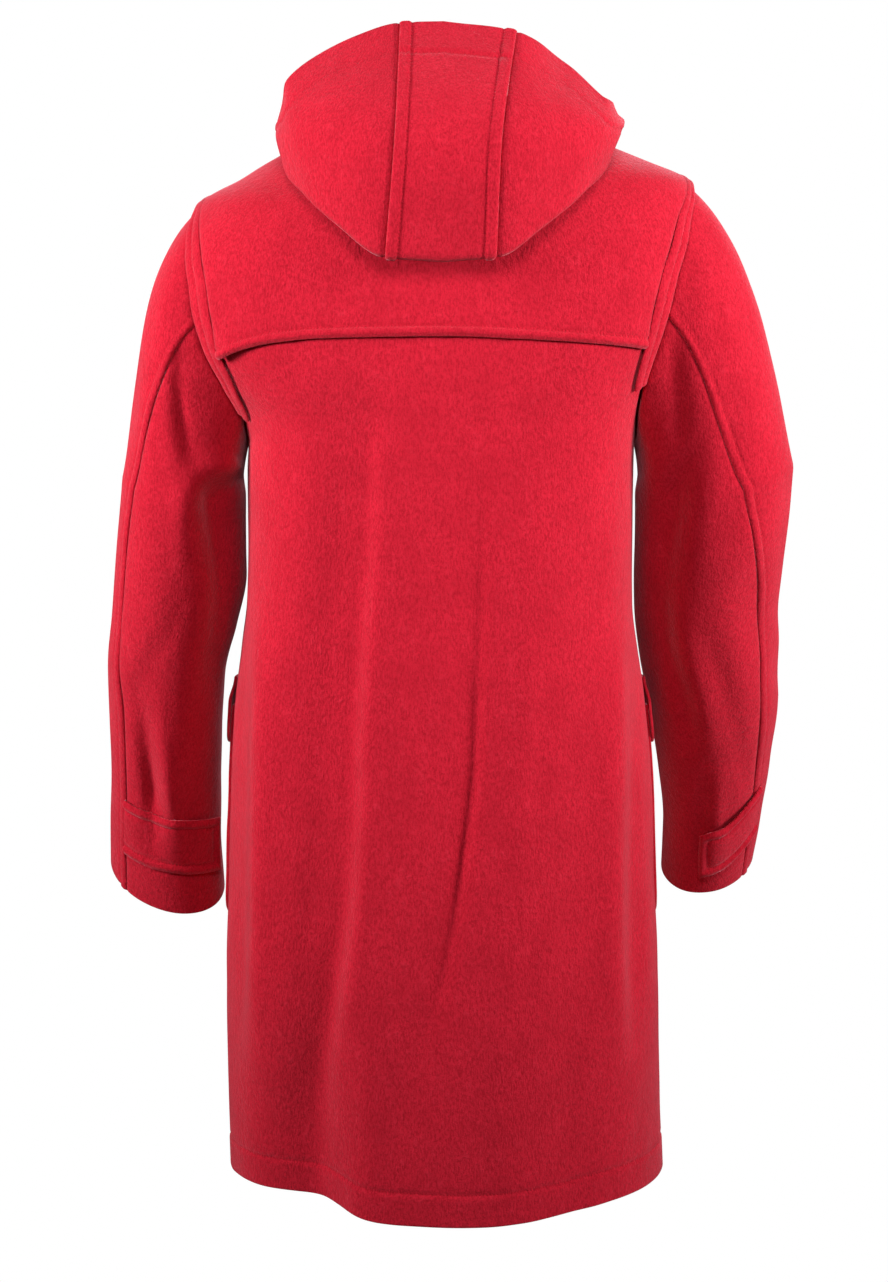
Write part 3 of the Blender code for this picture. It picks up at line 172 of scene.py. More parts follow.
RIGHT_ARM = (
    (0.000, -0.3560, 0.1898, 0.3402, 0.000, 0.070, 0.022, 0.004),
    (0.143, -0.4120, 0.1898, 0.3360, -0.010, 0.066, 0.010, 0.008),
    (0.286, -0.4700, 0.1915, 0.3318, -0.028, 0.062, 0.004, 0.014),
    (0.429, -0.5225, 0.1975, 0.3362, -0.047, 0.058, 0.004, 0.020),
    (0.571, -0.5800, 0.2085, 0.3386, -0.071, 0.055, 0.004, 0.024),
    (0.714, -0.6430, 0.2205, 0.3348, -0.097, 0.051, 0.006, 0.026),
    (0.857, -0.7050, 0.2278, 0.3298, -0.123, 0.048, 0.008, 0.026),
    (1.000, -0.7560, 0.2284, 0.3254, -0.144, 0.047, 0.010, 0.026),
)

# large folds of the sleeves: place along (-1 armhole, 0 upper arm, 1 cuff), angle round the
# sleeve (90 is the back, 180 the outer side), half-width in degrees and rise
ARM_FOLD_COLUMNS = ("along", "angle", "half", "rise")
LEFT_ARM_FOLDS = (
    ((-0.42, 44, 20, 0), (-0.12, 40, 20, -0.008), (0.08, 38, 20, -0.012), (0.28, 36, 20, -0.008),
     (0.5, 32, 20, 0)),
    ((0.4, 116, 9, 0), (0.54, 108, 8, -0.004), (0.66, 103, 7, -0.0062), (0.74, 101, 7, 0)),
    ((0.4, 94, 9, 0), (0.54, 88, 8, 0.0036), (0.66, 84, 7, 0.0052), (0.74, 82, 7, 0)),
    ((0.1, 70, 10, 0), (0.3, 92, 11, -0.0016), (0.46, 120, 12, -0.0014), (0.6, 136, 12, 0)),
    ((-0.62, 118, 12, 0), (-0.3, 108, 12, -0.0016), (0.05, 96, 12, -0.0014), (0.25, 90, 12, 0)),
    ((0.12, 196, 16, 0), (0.34, 206, 14, -0.0022), (0.52, 224, 14, -0.0016), (0.66, 236, 14, 0)),
    ((-0.98, 62, 20, 0), (-0.75, 74, 22, -0.005), (-0.45, 78, 26, -0.008),
     (-0.12, 58, 28, -0.006), (0.16, 30, 30, 0)),
    ((-0.66, 24, 12, 0), (-0.48, 46, 12, 0.005), (-0.28, 66, 12, 0.006), (-0.06, 80, 13, 0.004),
     (0.12, 90, 14, 0)),
    ((-0.56, 10, 14, 0), (-0.38, 30, 15, -0.005), (-0.18, 47, 17, -0.007), (0.02, 58, 18, -0.005),
     (0.22, 62, 18, 0)),
    ((-0.92, 84, 9, 0), (-0.72, 90, 8, -0.003), (-0.5, 84, 8, -0.004), (-0.3, 78, 9, 0)),
    # the inner side bulges toward the body
    ((-0.5, -6, 16, 0), (-0.25, -6, 16, 0.003), (-0.02, -6, 16, 0.003), (0.2, -4, 16, 0.002),
     (0.34, -4, 16, 0)),
    ((0.3, 104, 16, 0), (0.55, 100, 15, -0.003), (0.72, 97, 13, -0.005), (0.9, 96, 13, 0)),
    ((0.34, 74, 14, 0), (0.55, 76, 13, 0.003), (0.72, 78, 12, 0.0035), (0.88, 78, 12, 0)),
    ((-0.6, 250, 24, 0), (-0.2, 262, 26, -0.005), (0.25, 290, 26, 0)),
)
RIGHT_ARM_FOLDS = (
    ((-0.42, 54, 20, 0), (-0.1, 48, 20, -0.009), (0.1, 44, 18, -0.01), (0.32, 39, 18, -0.006),
     (0.52, 32, 18, 0)),
    ((0.3, 84, 9, 0), (0.44, 96, 9, -0.0022), (0.6, 108, 10, -0.0018), (0.74, 118, 10, 0)),
    ((0.62, 76, 8, 0), (0.74, 72, 8, -0.0026), (0.86, 70, 8, -0.003), (0.97, 70, 8, 0)),
    ((0.6, 92, 9, 0), (0.74, 90, 8, 0.002), (0.84, 90, 8, 0.0022), (0.92, 90, 8, 0)),
    ((-0.58, 112, 12, 0), (-0.28, 104, 12, -0.0018), (0.05, 96, 12, -0.0014), (0.28, 92, 12, 0)),
    ((0.16, 200, 14, 0), (0.36, 212, 14, -0.0024), (0.54, 226, 14, -0.0016), (0.7, 238, 14, 0)),
    ((-0.98, 66, 18, 0), (-0.7, 62, 24, -0.006), (-0.4, 66, 28, -0.007), (0, 48, 26, -0.004),
     (0.2, 30, 24, 0)),
    ((0.1, 110, 20, 0), (0.28, 128, 22, -0.004), (0.42, 150, 24, -0.004), (0.55, 170, 24, 0)),
    ((-0.94, 84, 9, 0), (-0.8, 80, 9, -0.004), (-0.6, 72, 9, -0.004), (-0.4, 66, 10, 0)),
    ((0.22, 42, 10, 0), (0.36, 48, 10, -0.004), (0.5, 60, 10, -0.005), (0.64, 66, 10, 0)),
    ((0.2, 62, 10, 0), (0.36, 68, 10, 0.003), (0.5, 78, 10, 0.003), (0.64, 84, 10, 0)),
    # the inner side bulges toward the body
    ((-0.48, -6, 16, 0), (-0.2, -6, 16, 0.003), (0.1, -6, 16, 0.003), (0.34, 0, 14, 0.002),
     (0.56, 10, 13, 0)),
    ((-0.6, 250, 24, 0), (-0.2, 262, 26, -0.005), (0.25, 290, 26, 0)),
)

# hood ribs, one half: share of the neck seam from centre back, fold and edge points
HOOD_COLUMNS = ("u", "fold_x", "fold_y", "fold_z", "belly_x", "belly_y", "belly_z",
                "edge_x", "edge_y", "edge_z")
HOOD_LEFT = (
    (0.00, 0.000, 0.186, -0.141, 0.000, 0.197, -0.030, 0.000, 0.130, 0.0745),
    (0.16, 0.053, 0.183, -0.137, 0.044, 0.194, -0.030, 0.040, 0.127, 0.0735),
    (0.34, 0.095, 0.165, -0.109, 0.104, 0.164, -0.022, 0.110, 0.100, 0.0500),
    (0.50, 0.126, 0.137, -0.082, 0.142, 0.128, -0.026, 0.146, 0.092, 0.0220),
    (0.64, 0.147, 0.092, -0.055, 0.156, 0.084, -0.022, 0.149, 0.060, 0.0080),
    (0.76, 0.148, 0.029, -0.0245, 0.158, 0.024, -0.010, 0.142, 0.012, 0.0010),
    (0.88, 0.124, -0.055, -0.036, 0.131, -0.069, -0.026, 0.114, -0.082, -0.0190),
    (1.00, 0.050, -0.111, -0.120, 0.048, -0.126, -0.116, 0.040, -0.128, -0.0980),
)
HOOD_RIGHT = (
    (0.00, 0.000, 0.186, -0.141, 0.000, 0.197, -0.030, 0.000, 0.130, 0.0745),
    (0.16, 0.047, 0.183, -0.137, 0.052, 0.194, -0.030, 0.066, 0.124, 0.0660),
    (0.34, 0.092, 0.165, -0.108, 0.108, 0.160, -0.022, 0.112, 0.092, 0.0400),
    (0.50, 0.128, 0.137, -0.078, 0.147, 0.124, -0.024, 0.148, 0.090, 0.0100),
    (0.64, 0.153, 0.092, -0.049, 0.165, 0.084, -0.018, 0.158, 0.060, 0.0060),
    (0.76, 0.159, 0.029, -0.0170, 0.170, 0.024, -0.006, 0.152, 0.012, 0.0030),
    (0.88, 0.128, -0.055, -0.033, 0.135, -0.069, -0.023, 0.117, -0.082, -0.0160),
    (1.00, 0.050, -0.111, -0.120, 0.048, -0.126, -0.116, 0.040, -0.128, -0.0980),
)
GUSSET_SHARE = 0.16     # of the neck seam, each side of centre back


# ---------------------------------------------------------------- helpers
HAND = {1: "left", -1: "right"}
NEAR = 1e-6             # two heights closer than this are the same
TINY = 1e-12            # keeps a division away from nought


def smooth(x):
    x = np.clip(x, 0.0, 1.0)
    return x * x * (3.0 - 2.0 * x)


def slopes(keys, values):
    """Slopes that keep a curve through a short table from overshooting."""
    step = np.diff(keys)
    rate = np.diff(values) / step
    out = np.zeros_like(values)
    out[0] = rate[0]
    out[-1] = rate[-1]
    for i in range(1, len(values) - 1):
        if rate[i - 1] * rate[i] > 0:
            w1 = 2 * step[i] + step[i - 1]
            w2 = step[i] + 2 * step[i - 1]
            out[i] = (w1 + w2) / (w1 / rate[i - 1] + w2 / rate[i])
    return out


def bend(a, b, rate_a, rate_b, s, step):
    """Cubic from a to b with the given end slopes, at share s of a step."""
    value = a * (1 + 2 * s) * (1 - s) ** 2 + b * s * s * (3 - 2 * s)
    return value + step * (rate_a * s * (1 - s) ** 2 - rate_b * s * s * (1 - s))


CURVES = {}             # tables already prepared, by table and column


def column(table, names, name, at):
    """Smooth value of one named column of a table at a place along its first column."""
    place = (id(table), name)
    if place not in CURVES:
        rows = sorted(table)
        keys = np.array([row[0] for row in rows], float)
        values = np.array([row[names.index(name)] for row in rows], float)
        CURVES[place] = (keys, values, slopes(keys, values))
    k, v, m = CURVES[place]
    at = np.clip(np.asarray(at, float), k[0], k[-1])
    i = np.clip(np.searchsorted(k, at, side="right") - 1, 0, len(k) - 2)
    h = k[i + 1] - k[i]
    s = (at - k[i]) / h
    return bend(v[i], v[i + 1], m[i], m[i + 1], s, h)


def unit(v):
    return v / np.maximum(np.linalg.norm(v, axis=-1, keepdims=True), TINY)


def run_along(points):
    """Length along a line of points, from nought at the first."""
    gaps = np.linalg.norm(np.diff(points, axis=0), axis=1)
    return np.concatenate([[0], np.cumsum(gaps)])


# ---------------------------------------------------------------- body form
LIFT_FROM = -0.80       # the hem's lift fades in below this height
ARMHOLE_MIDDLE = 0.5 * (TIP_Z + UNDERARM_Z)
ARMHOLE_TALL = 0.5 * (TIP_Z - UNDERARM_Z)
ARMHOLE_FLAT = 0.52     # share of a growing loop's climb that is lost at the shoulder


def body(name, t):
    return column(BODY, BODY_COLUMNS, name, t)


def side_height(angle, t):
    """Rows tilt a little: the left shoulder hangs lower than the right one."""
    top = smooth((t - UNDERARM_Z) / (TIP_Z - UNDERARM_Z))
    neck = 1.0 - smooth((t - TIP_Z) / (0.0 - TIP_Z))
    return t - TIP_SKEW * top * neck * np.sin(angle) * np.abs(np.sin(angle))


def fold_height(x, y, z):
    total = np.zeros_like(x)
    for folds, sign in ((BACK_FOLDS, 1.0), (FRONT_FOLDS, -1.0)):
        facing = smooth(sign * y / 0.05)
        for fold in folds:
            middle = column(fold, FOLD_COLUMNS, "x", z)
            half = column(fold, FOLD_COLUMNS, "half", z)
            rise = column(fold, FOLD_COLUMNS, "rise", z)
            away = (x - middle) / half
            total = total + rise * np.exp(-away * away) * facing
    return total


def skin(angle, t, folds=True):
    """Outer face of the body: angle 0 at centre back, +90 the left side seam."""
    angle = np.asarray(angle, float)
    t = np.asarray(t, float)
    z = side_height(angle, t)
    s = np.sin(angle)
    c = np.cos(angle)
    half = np.where(s >= 0, body("left", z), body("right", z))
    depth = np.where(c >= 0, body("back", z), body("front", z))
    n = body("square", z)
    fall = np.where(c >= 0, column(DROP, DROP_COLUMNS, "back", z),
                    column(DROP, DROP_COLUMNS, "front", z))
    x = half * np.sign(s) * np.abs(s) ** (2.0 / n)
    y = depth * np.sign(c) * np.abs(c) ** (2.0 / n)
    zz = z - fall * c * c
    degrees = np.degrees(np.arctan2(s, c))
    lift = column(HEM_LIFT, HEM_COLUMNS, "lift", degrees)
    zz = zz + lift * smooth((z - LIFT_FROM) / (HEM_Z - LIFT_FROM))
    points = np.stack(np.broadcast_arrays(x, y, zz), -1)
    if folds:
        rise = fold_height(x, y, zz)
        flat = unit(np.stack([x / half ** 2, y / depth ** 2, 0 * x], -1))
        points = points + flat * rise[..., None]
    return points


def skin_normal(angle, t):
    e = 0.004
    da = skin(angle + e, t) - skin(angle - e, t)
    dt = skin(angle, np.asarray(t) + e) - skin(angle, np.asarray(t) - e)
    return unit(np.cross(dt, da))


def edge_angle(side, y, t):
    """Angle at which the body row t reaches depth y (plus is towards the back)."""
    a = np.full(np.shape(y), math.pi / 2)
    for _ in range(3):
        z = side_height(side * a, t)
        depth = np.where(y >= 0, body("back", z), body("front", z))
        n = body("square", z)
        c = np.clip(np.abs(y) / depth, 0, 0.999) ** (n / 2.0)
        a = np.where(y >= 0, np.arccos(c), math.pi - np.arccos(c))
    return side * a


def armhole_yt(theta, grow=0.0):
    """Armhole loop: theta 0 at the underarm, 180 degrees at the shoulder tip."""
    s = np.sin(theta)
    wide = np.where(s >= 0, ARMHOLE_BACK, ARMHOLE_FRONT)
    up = -np.cos(theta)
    # a growing loop climbs less in height where the shoulder lies flat
    flat = np.where(up > 0, 1.0 - ARMHOLE_FLAT * smooth(up), 1.0)
    return (wide + grow) * s, ARMHOLE_MIDDLE + (ARMHOLE_TALL + grow * flat) * up


def armhole(side, theta, grow=0.0):
    y, t = armhole_yt(theta, grow)
    return edge_angle(side, y, t), t


def rows_for_body():
    """Row heights from hem to neck; those beside the armhole follow its oval."""
    low = HEM_Z + (UNDERARM_Z - HEM_Z) * np.linspace(0, 1, BODY_LONG + 1) ** 0.96
    theta = np.linspace(0, math.pi, ARM_ROWS + 1)[1:]
    arm = armhole_yt(theta)[1]
    top = TIP_Z * (1 - np.linspace(0, 1, SHOULDER_ROWS + 1)[1:])
    return np.concatenate([low, arm, top])


def row_limit(side, t, back):
    """Angle where a body row stops: the side seam, the armhole or the shoulder seam."""
    if t <= UNDERARM_Z + NEAR or t >= TIP_Z - NEAR:
        return side * math.pi / 2
    up = (t - ARMHOLE_MIDDLE) / ARMHOLE_TALL
    wide = ARMHOLE_BACK if back else ARMHOLE_FRONT
    y = wide * math.sqrt(max(0.0, 1 - up * up)) * (1 if back else -1)
    return float(edge_angle(side, np.array(y), np.array(t)))


def equal_steps(t, a0, a1, count):
    """Angles between a0 and a1 that share the row out evenly by length."""
    fine = np.linspace(a0, a1, 160)
    run = run_along(skin(fine, np.full_like(fine, t), False))
    return np.interp(np.linspace(0, 1, count + 1) * run[-1], run, fine)


# ---------------------------------------------------------------- piece outlines
YOKE_COLUMNS = ("x", "back", "front")
YOKE_EDGE = (
    (-0.21, -0.2230, -0.178),
    (-0.17, -0.2165, -0.176),
    (-0.10, -0.2110, -0.174),
    (0.00, -0.2070, -0.174),
    (0.10, -0.2085, -0.174),
    (0.17, -0.2150, -0.176),
    (0.21, -0.2290, -0.178),
)
YOKE_FRONT_END = 0.047  # the yoke stops this far from the centre front
YOKE_START = -0.006     # below the neck seam
YOKE_COLS_BACK = 16
YOKE_COLS_FRONT = 6
CAP_ROWS = 5
SLEEVE_ROWS = 8
# angle round the sleeve of its two seams; the back one differs between the arms
SEAM_COLUMNS = ("share", "angle")
LEFT_SEAM = ((0.0, 90.0), (0.144, 99.0), (0.288, 115.0), (0.394, 127.0), (0.490, 135.0),
             (0.580, 142.0), (0.680, 140.0), (0.780, 131.0), (1.0, 132.0))
RIGHT_SEAM = ((0.0, 90.0), (0.130, 93.0), (0.275, 95.0), (0.413, 99.0), (0.470, 102.0),
              (0.530, 111.0), (0.600, 126.0), (0.660, 135.0), (0.780, 131.0), (1.0, 133.0))
FRONT_SEAM = ((0.0, 300.0), (0.4, 305.0), (1.0, 310.0))
HOOD_V = (0.0, 0.05, 0.10, 0.15, 0.24, 0.36, 0.44, 0.47, 0.50, 0.60, 0.72, 0.86, 1.0)
HOOD_KEYS = (0.0, 0.08, 0.14, 0.30, 0.44, 0.47, 0.50, 0.72, 1.0)   # of a rib's points
HOOD_TURN = 0.0055      # radius of the low fold
HOOD_ENDS = 148.0       # where the hood stops on the neck seam, degrees from centre back
POCKET_TOP = -0.574
POCKET_BOTTOM = -0.787
POCKET_NEAR = 0.012     # from the side seam, measured along the front
POCKET_FAR = 0.168
POCKET_ROUND = 0.024    # radius of the lower corners
FLAP_TOP = -0.545
FLAP_BOTTOM = -0.612
FLAP_OVER = 0.004       # the flap is wider than its pocket by this at each end
# angle round the sleeve (90 is the back), upper edge, lower edge, stand-off
TAB_COLUMNS = ("angle", "top", "bottom", "lift")
TAB_LEFT = (
    (24.0, -0.6928, -0.7500, 0.0034),
    (50.0, -0.6920, -0.7500, 0.0012),
    (95.0, -0.6860, -0.7430, 0.0006),
    (130.0, -0.6720, -0.7290, 0.0000),
)
TAB_RIGHT = (
    (76.0, -0.7120, -0.7600, 0.0085),
    (100.0, -0.7000, -0.7500, 0.0040),
    (125.0, -0.6780, -0.7300, 0.0008),
    (139.0, -0.6650, -0.7160, 0.0000),
)
TAB_LAY = 0.0014
TOGGLE_HEIGHTS = (-0.205, -0.335, -0.465, -0.595)
TOGGLE_LONG = 0.054
TOGGLE_THICK = 0.0068   # radius at the middle
TOGGLE_X = -0.034
CORD = 0.0022           # radius
PATCH_LONG = 0.030
PATCH_TALL = 0.036
PATCH_CLOTH = 0.0022
PATCH_BORDER = 0.0035   # from the patch's edge to its stitches
POCKET_BORDER = 0.006   # the same on a pocket or flap
LOOP_HALF = 0.0078      # half the spread of the loop's two strands
LOOP_BEND_X = -0.050
LEFT_PATCH_X = 0.016
RIGHT_PATCH_X = -0.076


def trim(angle_from, angle_to, t):
    """Bring a row's end back by half a seam gap."""
    step = 0.002 if angle_to > angle_from else -0.002
    p = skin(np.array([angle_to, angle_to - step]), np.array([t, t]), False)
    reach = np.linalg.norm(p[0] - p[1])
    return angle_to - step * (SEAM / 2) / max(reach, 1e-6)


def seam_lean(side, t, own, back):
    """Direction of the wall's end face: shared with the sleeve where the seam is a ridge."""
    beside = (t > UNDERARM_Z + NEAR) & (t < TIP_Z + NEAR)
    up = (t - ARMHOLE_MIDDLE) / ARMHOLE_TALL
    theta = np.arccos(np.clip(-up, -1, 1))
    if not back:
        theta = 2 * math.pi - theta
    return np.where(beside[:, None], mitre(side, theta, own), own)


def mitre(side, theta, own):
    """Lean of the end face at the armhole, long enough to keep the cloth's thickness."""
    a, t = armhole(side, theta)
    body = skin_normal(a, t)
    arm = sleeve_normal(side, np.full(np.shape(theta), -1.0), theta)
    middle = unit(body + arm)
    agree = np.sum(body * arm, axis=-1, keepdims=True)
    long = 1.0 / np.maximum(np.sqrt(np.maximum(0.5 * (1 + agree), 0.05)), 0.7)
    share = smooth((agree - 0.1) / 0.4)
    return own * (1 - share) + middle * long * share


def under_lap(side, x):
    """The right front passes beneath the left one near the centre."""
    reach = smooth((x + OVERLAP + 0.055) / 0.05) if side < 0 else 0 * x
    return -(CLOTH + LAY + 0.0004) * reach


def front_end(side, t):
    half = body(HAND[-side], t)
    n = body("square", t)
    return side * (math.pi + math.asin((OVERLAP / half) ** (n / 2.0)))


def band_limit(side, t, back):
    """Angle at which a row meets the inner edge of the armhole band."""
    grow = BAND_WIDTH + 0.0008
    lo, hi = 0.0, math.pi
    for _ in range(36):
        mid = 0.5 * (lo + hi)
        if armhole_yt(np.array(mid), grow)[1] < t:
            lo = mid
        else:
            hi = mid
    theta = 0.5 * (lo + hi)
    if theta > math.pi - 1e-4:
        return side * math.pi / 2
    if not back:
        theta = 2 * math.pi - theta
    y = armhole_yt(np.array(theta), grow)[0]
    return float(edge_angle(side, y, np.array(t)))


def yoke_low(angle, back):
    """Row height at which an angle of the body meets the yoke's lower edge."""
    lo, hi = -0.33, -0.05
    for _ in range(30):
        mid = 0.5 * (lo + hi)
        p = skin(np.array(angle), np.array(mid), False)
        edge = column(YOKE_EDGE, YOKE_COLUMNS, "back" if back else "front", p[0])
        if p[2] > edge:
            hi = mid
        else:
            lo = mid
    return 0.5 * (lo + hi)


def yoke_rows():
    """Heights down to the last row that both the back and the fronts of the yoke share."""
    beside = armhole_yt(np.radians([180.0, 165.0, 150.0, 135.0]), BAND_WIDTH + 0.0008)[1]
    return [YOKE_START, -0.0200, -0.0370, -0.0530] + [float(t) for t in beside]


def yoke_front_end(side, t):
    half = float(body(HAND[side], t))
    n = float(body("square", t))
    return side * (math.pi - math.asin((YOKE_FRONT_END / half) ** (n / 2.0)))


def arm_ring(side, s, theta):
    """Point of the sleeve's lower tube: s 0 at the upper-arm ring, 1 at the cuff."""
    table = LEFT_ARM if side > 0 else RIGHT_ARM

    def col(name):
        return column(table, ARM_COLUMNS, name, s)

    inner, outer = col("inner"), col("outer")
    mid = 0.5 * (inner + outer)
    wide = 0.5 * (outer - inner)
    lateral = -np.cos(theta)
    behind = np.sin(theta)
    x = mid + wide * lateral
    y = col("y") + col("depth") * behind
    z = col("z") + col("rise") * lateral - col("fall") * behind
    return np.stack(np.broadcast_arrays(side * x, y, z), -1)


def arm_fold(side, v, theta):
    """Height of the sleeve's folds; none at the armhole and the cuff."""
    total = 0.0 * v
    degrees = np.degrees(theta)
    for fold in LEFT_ARM_FOLDS if side > 0 else RIGHT_ARM_FOLDS:
        angle = column(fold, ARM_FOLD_COLUMNS, "angle", v)
        half = column(fold, ARM_FOLD_COLUMNS, "half", v)
        rise = column(fold, ARM_FOLD_COLUMNS, "rise", v)
        away = (np.mod(degrees - angle + 180.0, 360.0) - 180.0) / half
        total = total + rise * np.exp(-away * away)
    return total


def sleeve_point(side, v, theta):
    """v below 0 is the cap between the armhole (-1) and the upper-arm ring (0)."""
    v = np.asarray(v, float)
    theta = np.asarray(theta, float)
    v, theta = np.broadcast_arrays(v, theta)
    lower = arm_ring(side, np.clip(v, 0, 1), theta)
    a, t = armhole(side, theta)
    start = skin(a, t)
    end = arm_ring(side, np.zeros_like(v), theta)
    ahead = arm_ring(side, np.full_like(v, 0.02), theta)
    away = unit(ahead - end)
    high = 0.5 * (1 - np.cos(theta))
    lean = np.stack([side * (0.34 + 0.48 * high), 0.10 * np.sin(theta), -1.0 + 0.30 * high], -1)
    lean = unit(lean)
    reach = np.linalg.norm(end - start, axis=-1, keepdims=True)
    away = unit(away + (0.2 + 1.8 * high)[..., None] * unit(end - start))
    q = np.clip(v + 1, 0, 1)[..., None]
    h00 = (1 + 2 * q) * (1 - q) ** 2
    h10 = q * (1 - q) ** 2
    h01 = q * q * (3 - 2 * q)
    h11 = q * q * (q - 1)
    cap = h00 * start + h10 * lean * reach * 0.95 + h01 * end + h11 * away * reach * 0.95
    out = np.where((v < 0)[..., None], cap, lower)
    rise = arm_fold(side, v, theta)
    ray = np.stack([-side * np.cos(theta), np.sin(theta), 0 * theta], -1)
    return out + ray * rise[..., None]


def sleeve_normal(side, v, theta):
    e = 0.01
    ahead = sleeve_point(side, np.minimum(v + e, 1.0), theta)
    dv = ahead - sleeve_point(side, np.maximum(v - e, -1.0), theta)
    dt = sleeve_point(side, v, theta + e) - sleeve_point(side, v, theta - e)
    return unit(np.cross(dt, dv)) * side


def seam_angle(table, v):
    return np.radians(column(table, SEAM_COLUMNS, "angle", (v + 1) / 2.0))


def hood_neck(angle):
    """Neck seam, a gap above the edge of the body; the gap is wider where the seam is steep."""
    p = skin(angle, np.zeros_like(angle), False)
    steep = smooth((np.abs(angle) - math.pi / 2) / (math.pi / 4))
    return p + np.array([0, 0, SEAM * (1.0 + 2.0 * float(steep))])


def hood_rib(u):
    """Control points of one rib of the hood, u from -1 (right throat) to 1 (left)."""
    side = 1.0 if u >= 0 else -1.0
    table = HOOD_LEFT if side > 0 else HOOD_RIGHT
    w = abs(u)

    def col(name):
        return float(column(table, HOOD_COLUMNS, name, w))

    angle = side * w * math.radians(HOOD_ENDS)
    neck = hood_neck(np.array(angle))
    back_lean = unit(np.array([neck[0], neck[1], 0.0]))
    up = neck + np.array([0, 0, NECK_RISE]) + back_lean * 0.001
    roll = neck + np.array([0, 0, NECK_RISE - 0.001]) + back_lean * 0.015
    fold, belly, edge = (np.array([side * col(part + "_x"), col(part + "_y"), col(part + "_z")])
                         for part in ("fold", "belly", "edge"))
    return neck, up, roll, back_lean, fold, belly, edge


def hood_curve(u, v):
    """Point on a rib: v 0 at the neck seam, about 0.4 at the low fold, 1 at the face edge."""
    neck, up, roll, lean, fold, belly, edge = hood_rib(u)
    under = 0.5 * (roll + fold) + lean * 0.004 + np.array([0, 0, 0.012])
    # the low fold is a round turn between the two layers, not a crease
    down = unit(fold - under)
    across = belly - under
    across = unit(across - down * np.dot(across, down)) * HOOD_TURN
    keys = np.array(HOOD_KEYS)
    pts = np.array([neck, up, roll, under, fold - down * HOOD_TURN - across * 0.8, fold,
                    fold - down * HOOD_TURN * 0.8 + across * 1.1, belly, edge])
    return np.array([catmull(keys, pts, x) for x in v])


def catmull(keys, pts, x):
    """Point of a smooth curve through pts, at x along its keys."""
    i = int(np.clip(np.searchsorted(keys, x, side="right") - 1, 0, len(keys) - 2))
    h = keys[i + 1] - keys[i]
    s = (x - keys[i]) / h

    def slope(j):
        if j == 0:
            return (pts[1] - pts[0]) / (keys[1] - keys[0])
        if j == len(keys) - 1:
            return (pts[-1] - pts[-2]) / (keys[-1] - keys[-2])
        return (pts[j + 1] - pts[j - 1]) / (keys[j + 1] - keys[j - 1])

    return bend(pts[i], pts[i + 1], slope(i), slope(i + 1), s, h)


def front_angle(side, t, reach):
    """Angle on the front at a distance from the side seam, measured along the cloth."""
    fine = np.linspace(math.pi / 2, math.pi, 120)
    run = run_along(skin(side * fine, np.full_like(fine, t), False))
    return side * np.interp(reach, run, fine)


def sleeve_level(side, theta, z):
    """Place along the sleeve at which its surface reaches a height."""
    lo = np.zeros_like(z)
    hi = np.ones_like(z)
    for _ in range(24):
        mid = 0.5 * (lo + hi)
        above = sleeve_point(side, mid, theta)[..., 2] > z
        lo = np.where(above, mid, lo)
        hi = np.where(above, hi, mid)
    return 0.5 * (lo + hi)


def front_at(x, z):
    """Point and outward normal of the front's form at a width and a height."""
    side = 1.0 if x >= 0 else -1.0
    t = z
    for _ in range(12):
        half = float(body(HAND[side], t))
        n = float(body("square", t))
        angle = side * (math.pi - math.asin(min(1.0, abs(x) / half) ** (n / 2.0)))
        t = t + (z - float(skin(np.array(angle), np.array(t))[2]))
    return skin(np.array(angle), np.array(t)), skin_normal(np.array(angle), np.array(t))


def lifted(x, z, lift):
    p, n = front_at(x, z)
    return p + n * lift


# ---------------------------------------------------------------- fine grids
END = -1e-9             # a mark at the far end of a length; other minus marks count back from it


def steps(total, coarse, marks):
    """Places from 0 to 1 along a length, close together near each mark (place, spacing)."""
    x = [0.0]
    while x[-1] < total:
        gap = coarse
        for place, fine in marks:
            at = place if place >= 0 else total + place
            gap = min(gap, fine + 0.22 * abs(x[-1] - at))
        x.append(x[-1] + gap)
    x = np.array(x)
    return x / x[-1]


def along_axis(points, axis):
    step = np.linalg.norm(np.diff(points, axis=axis), axis=2)
    run = np.cumsum(step, axis=axis)
    start = np.zeros_like(np.take(run, [0], axis=axis))
    return np.concatenate([start, run], axis=axis)


def places(points, axis, coarse, marks):
    """Fractional grid indices along an axis that give the asked real spacing."""
    run = along_axis(points, axis).mean(axis=1 - axis)
    return np.interp(steps(run[-1], coarse, marks) * run[-1], run, np.arange(len(run)))


def between(grid, at):
    """Smooth values of a grid between its rows, without overshoot at a corner."""
    d = np.diff(grid, axis=0)
    m = np.zeros_like(grid)
    a, b = d[:-1], d[1:]
    same = a * b > 0
    m[1:-1] = np.where(same, 2 * a * b / np.where(same, a + b, 1.0), 0.0)
    m[0] = d[0]
    m[-1] = d[-1]
    i = np.clip(at.astype(int), 0, len(grid) - 2)
    s = (at - i)[:, None, None]
    out = grid[i] * (1 + 2 * s) * (1 - s) ** 2 + grid[i + 1] * s * s * (3 - 2 * s)
    return out + m[i] * s * (1 - s) ** 2 - m[i + 1] * s * s * (1 - s)


def finer(grid, form, row_gap, row_marks, col_gap, col_marks):
    """Finer version of a grid of places on a form."""
    rough = form(grid)
    r = places(rough, 0, row_gap, row_marks)
    c = places(rough, 1, col_gap, col_marks)
    tall = between(grid, r)
    return np.transpose(between(np.transpose(tall, (1, 0, 2)), c), (1, 0, 2))


HEM_RISE = 0.0006       # of the doubled cloth
HEM_SLOPE = 0.004       # width over which it rises
HEM_STITCH_DEPTH = 0.0010
PUFF = 0.00018          # unevenness beside a line of stitches
PUFF_REACH = 0.005


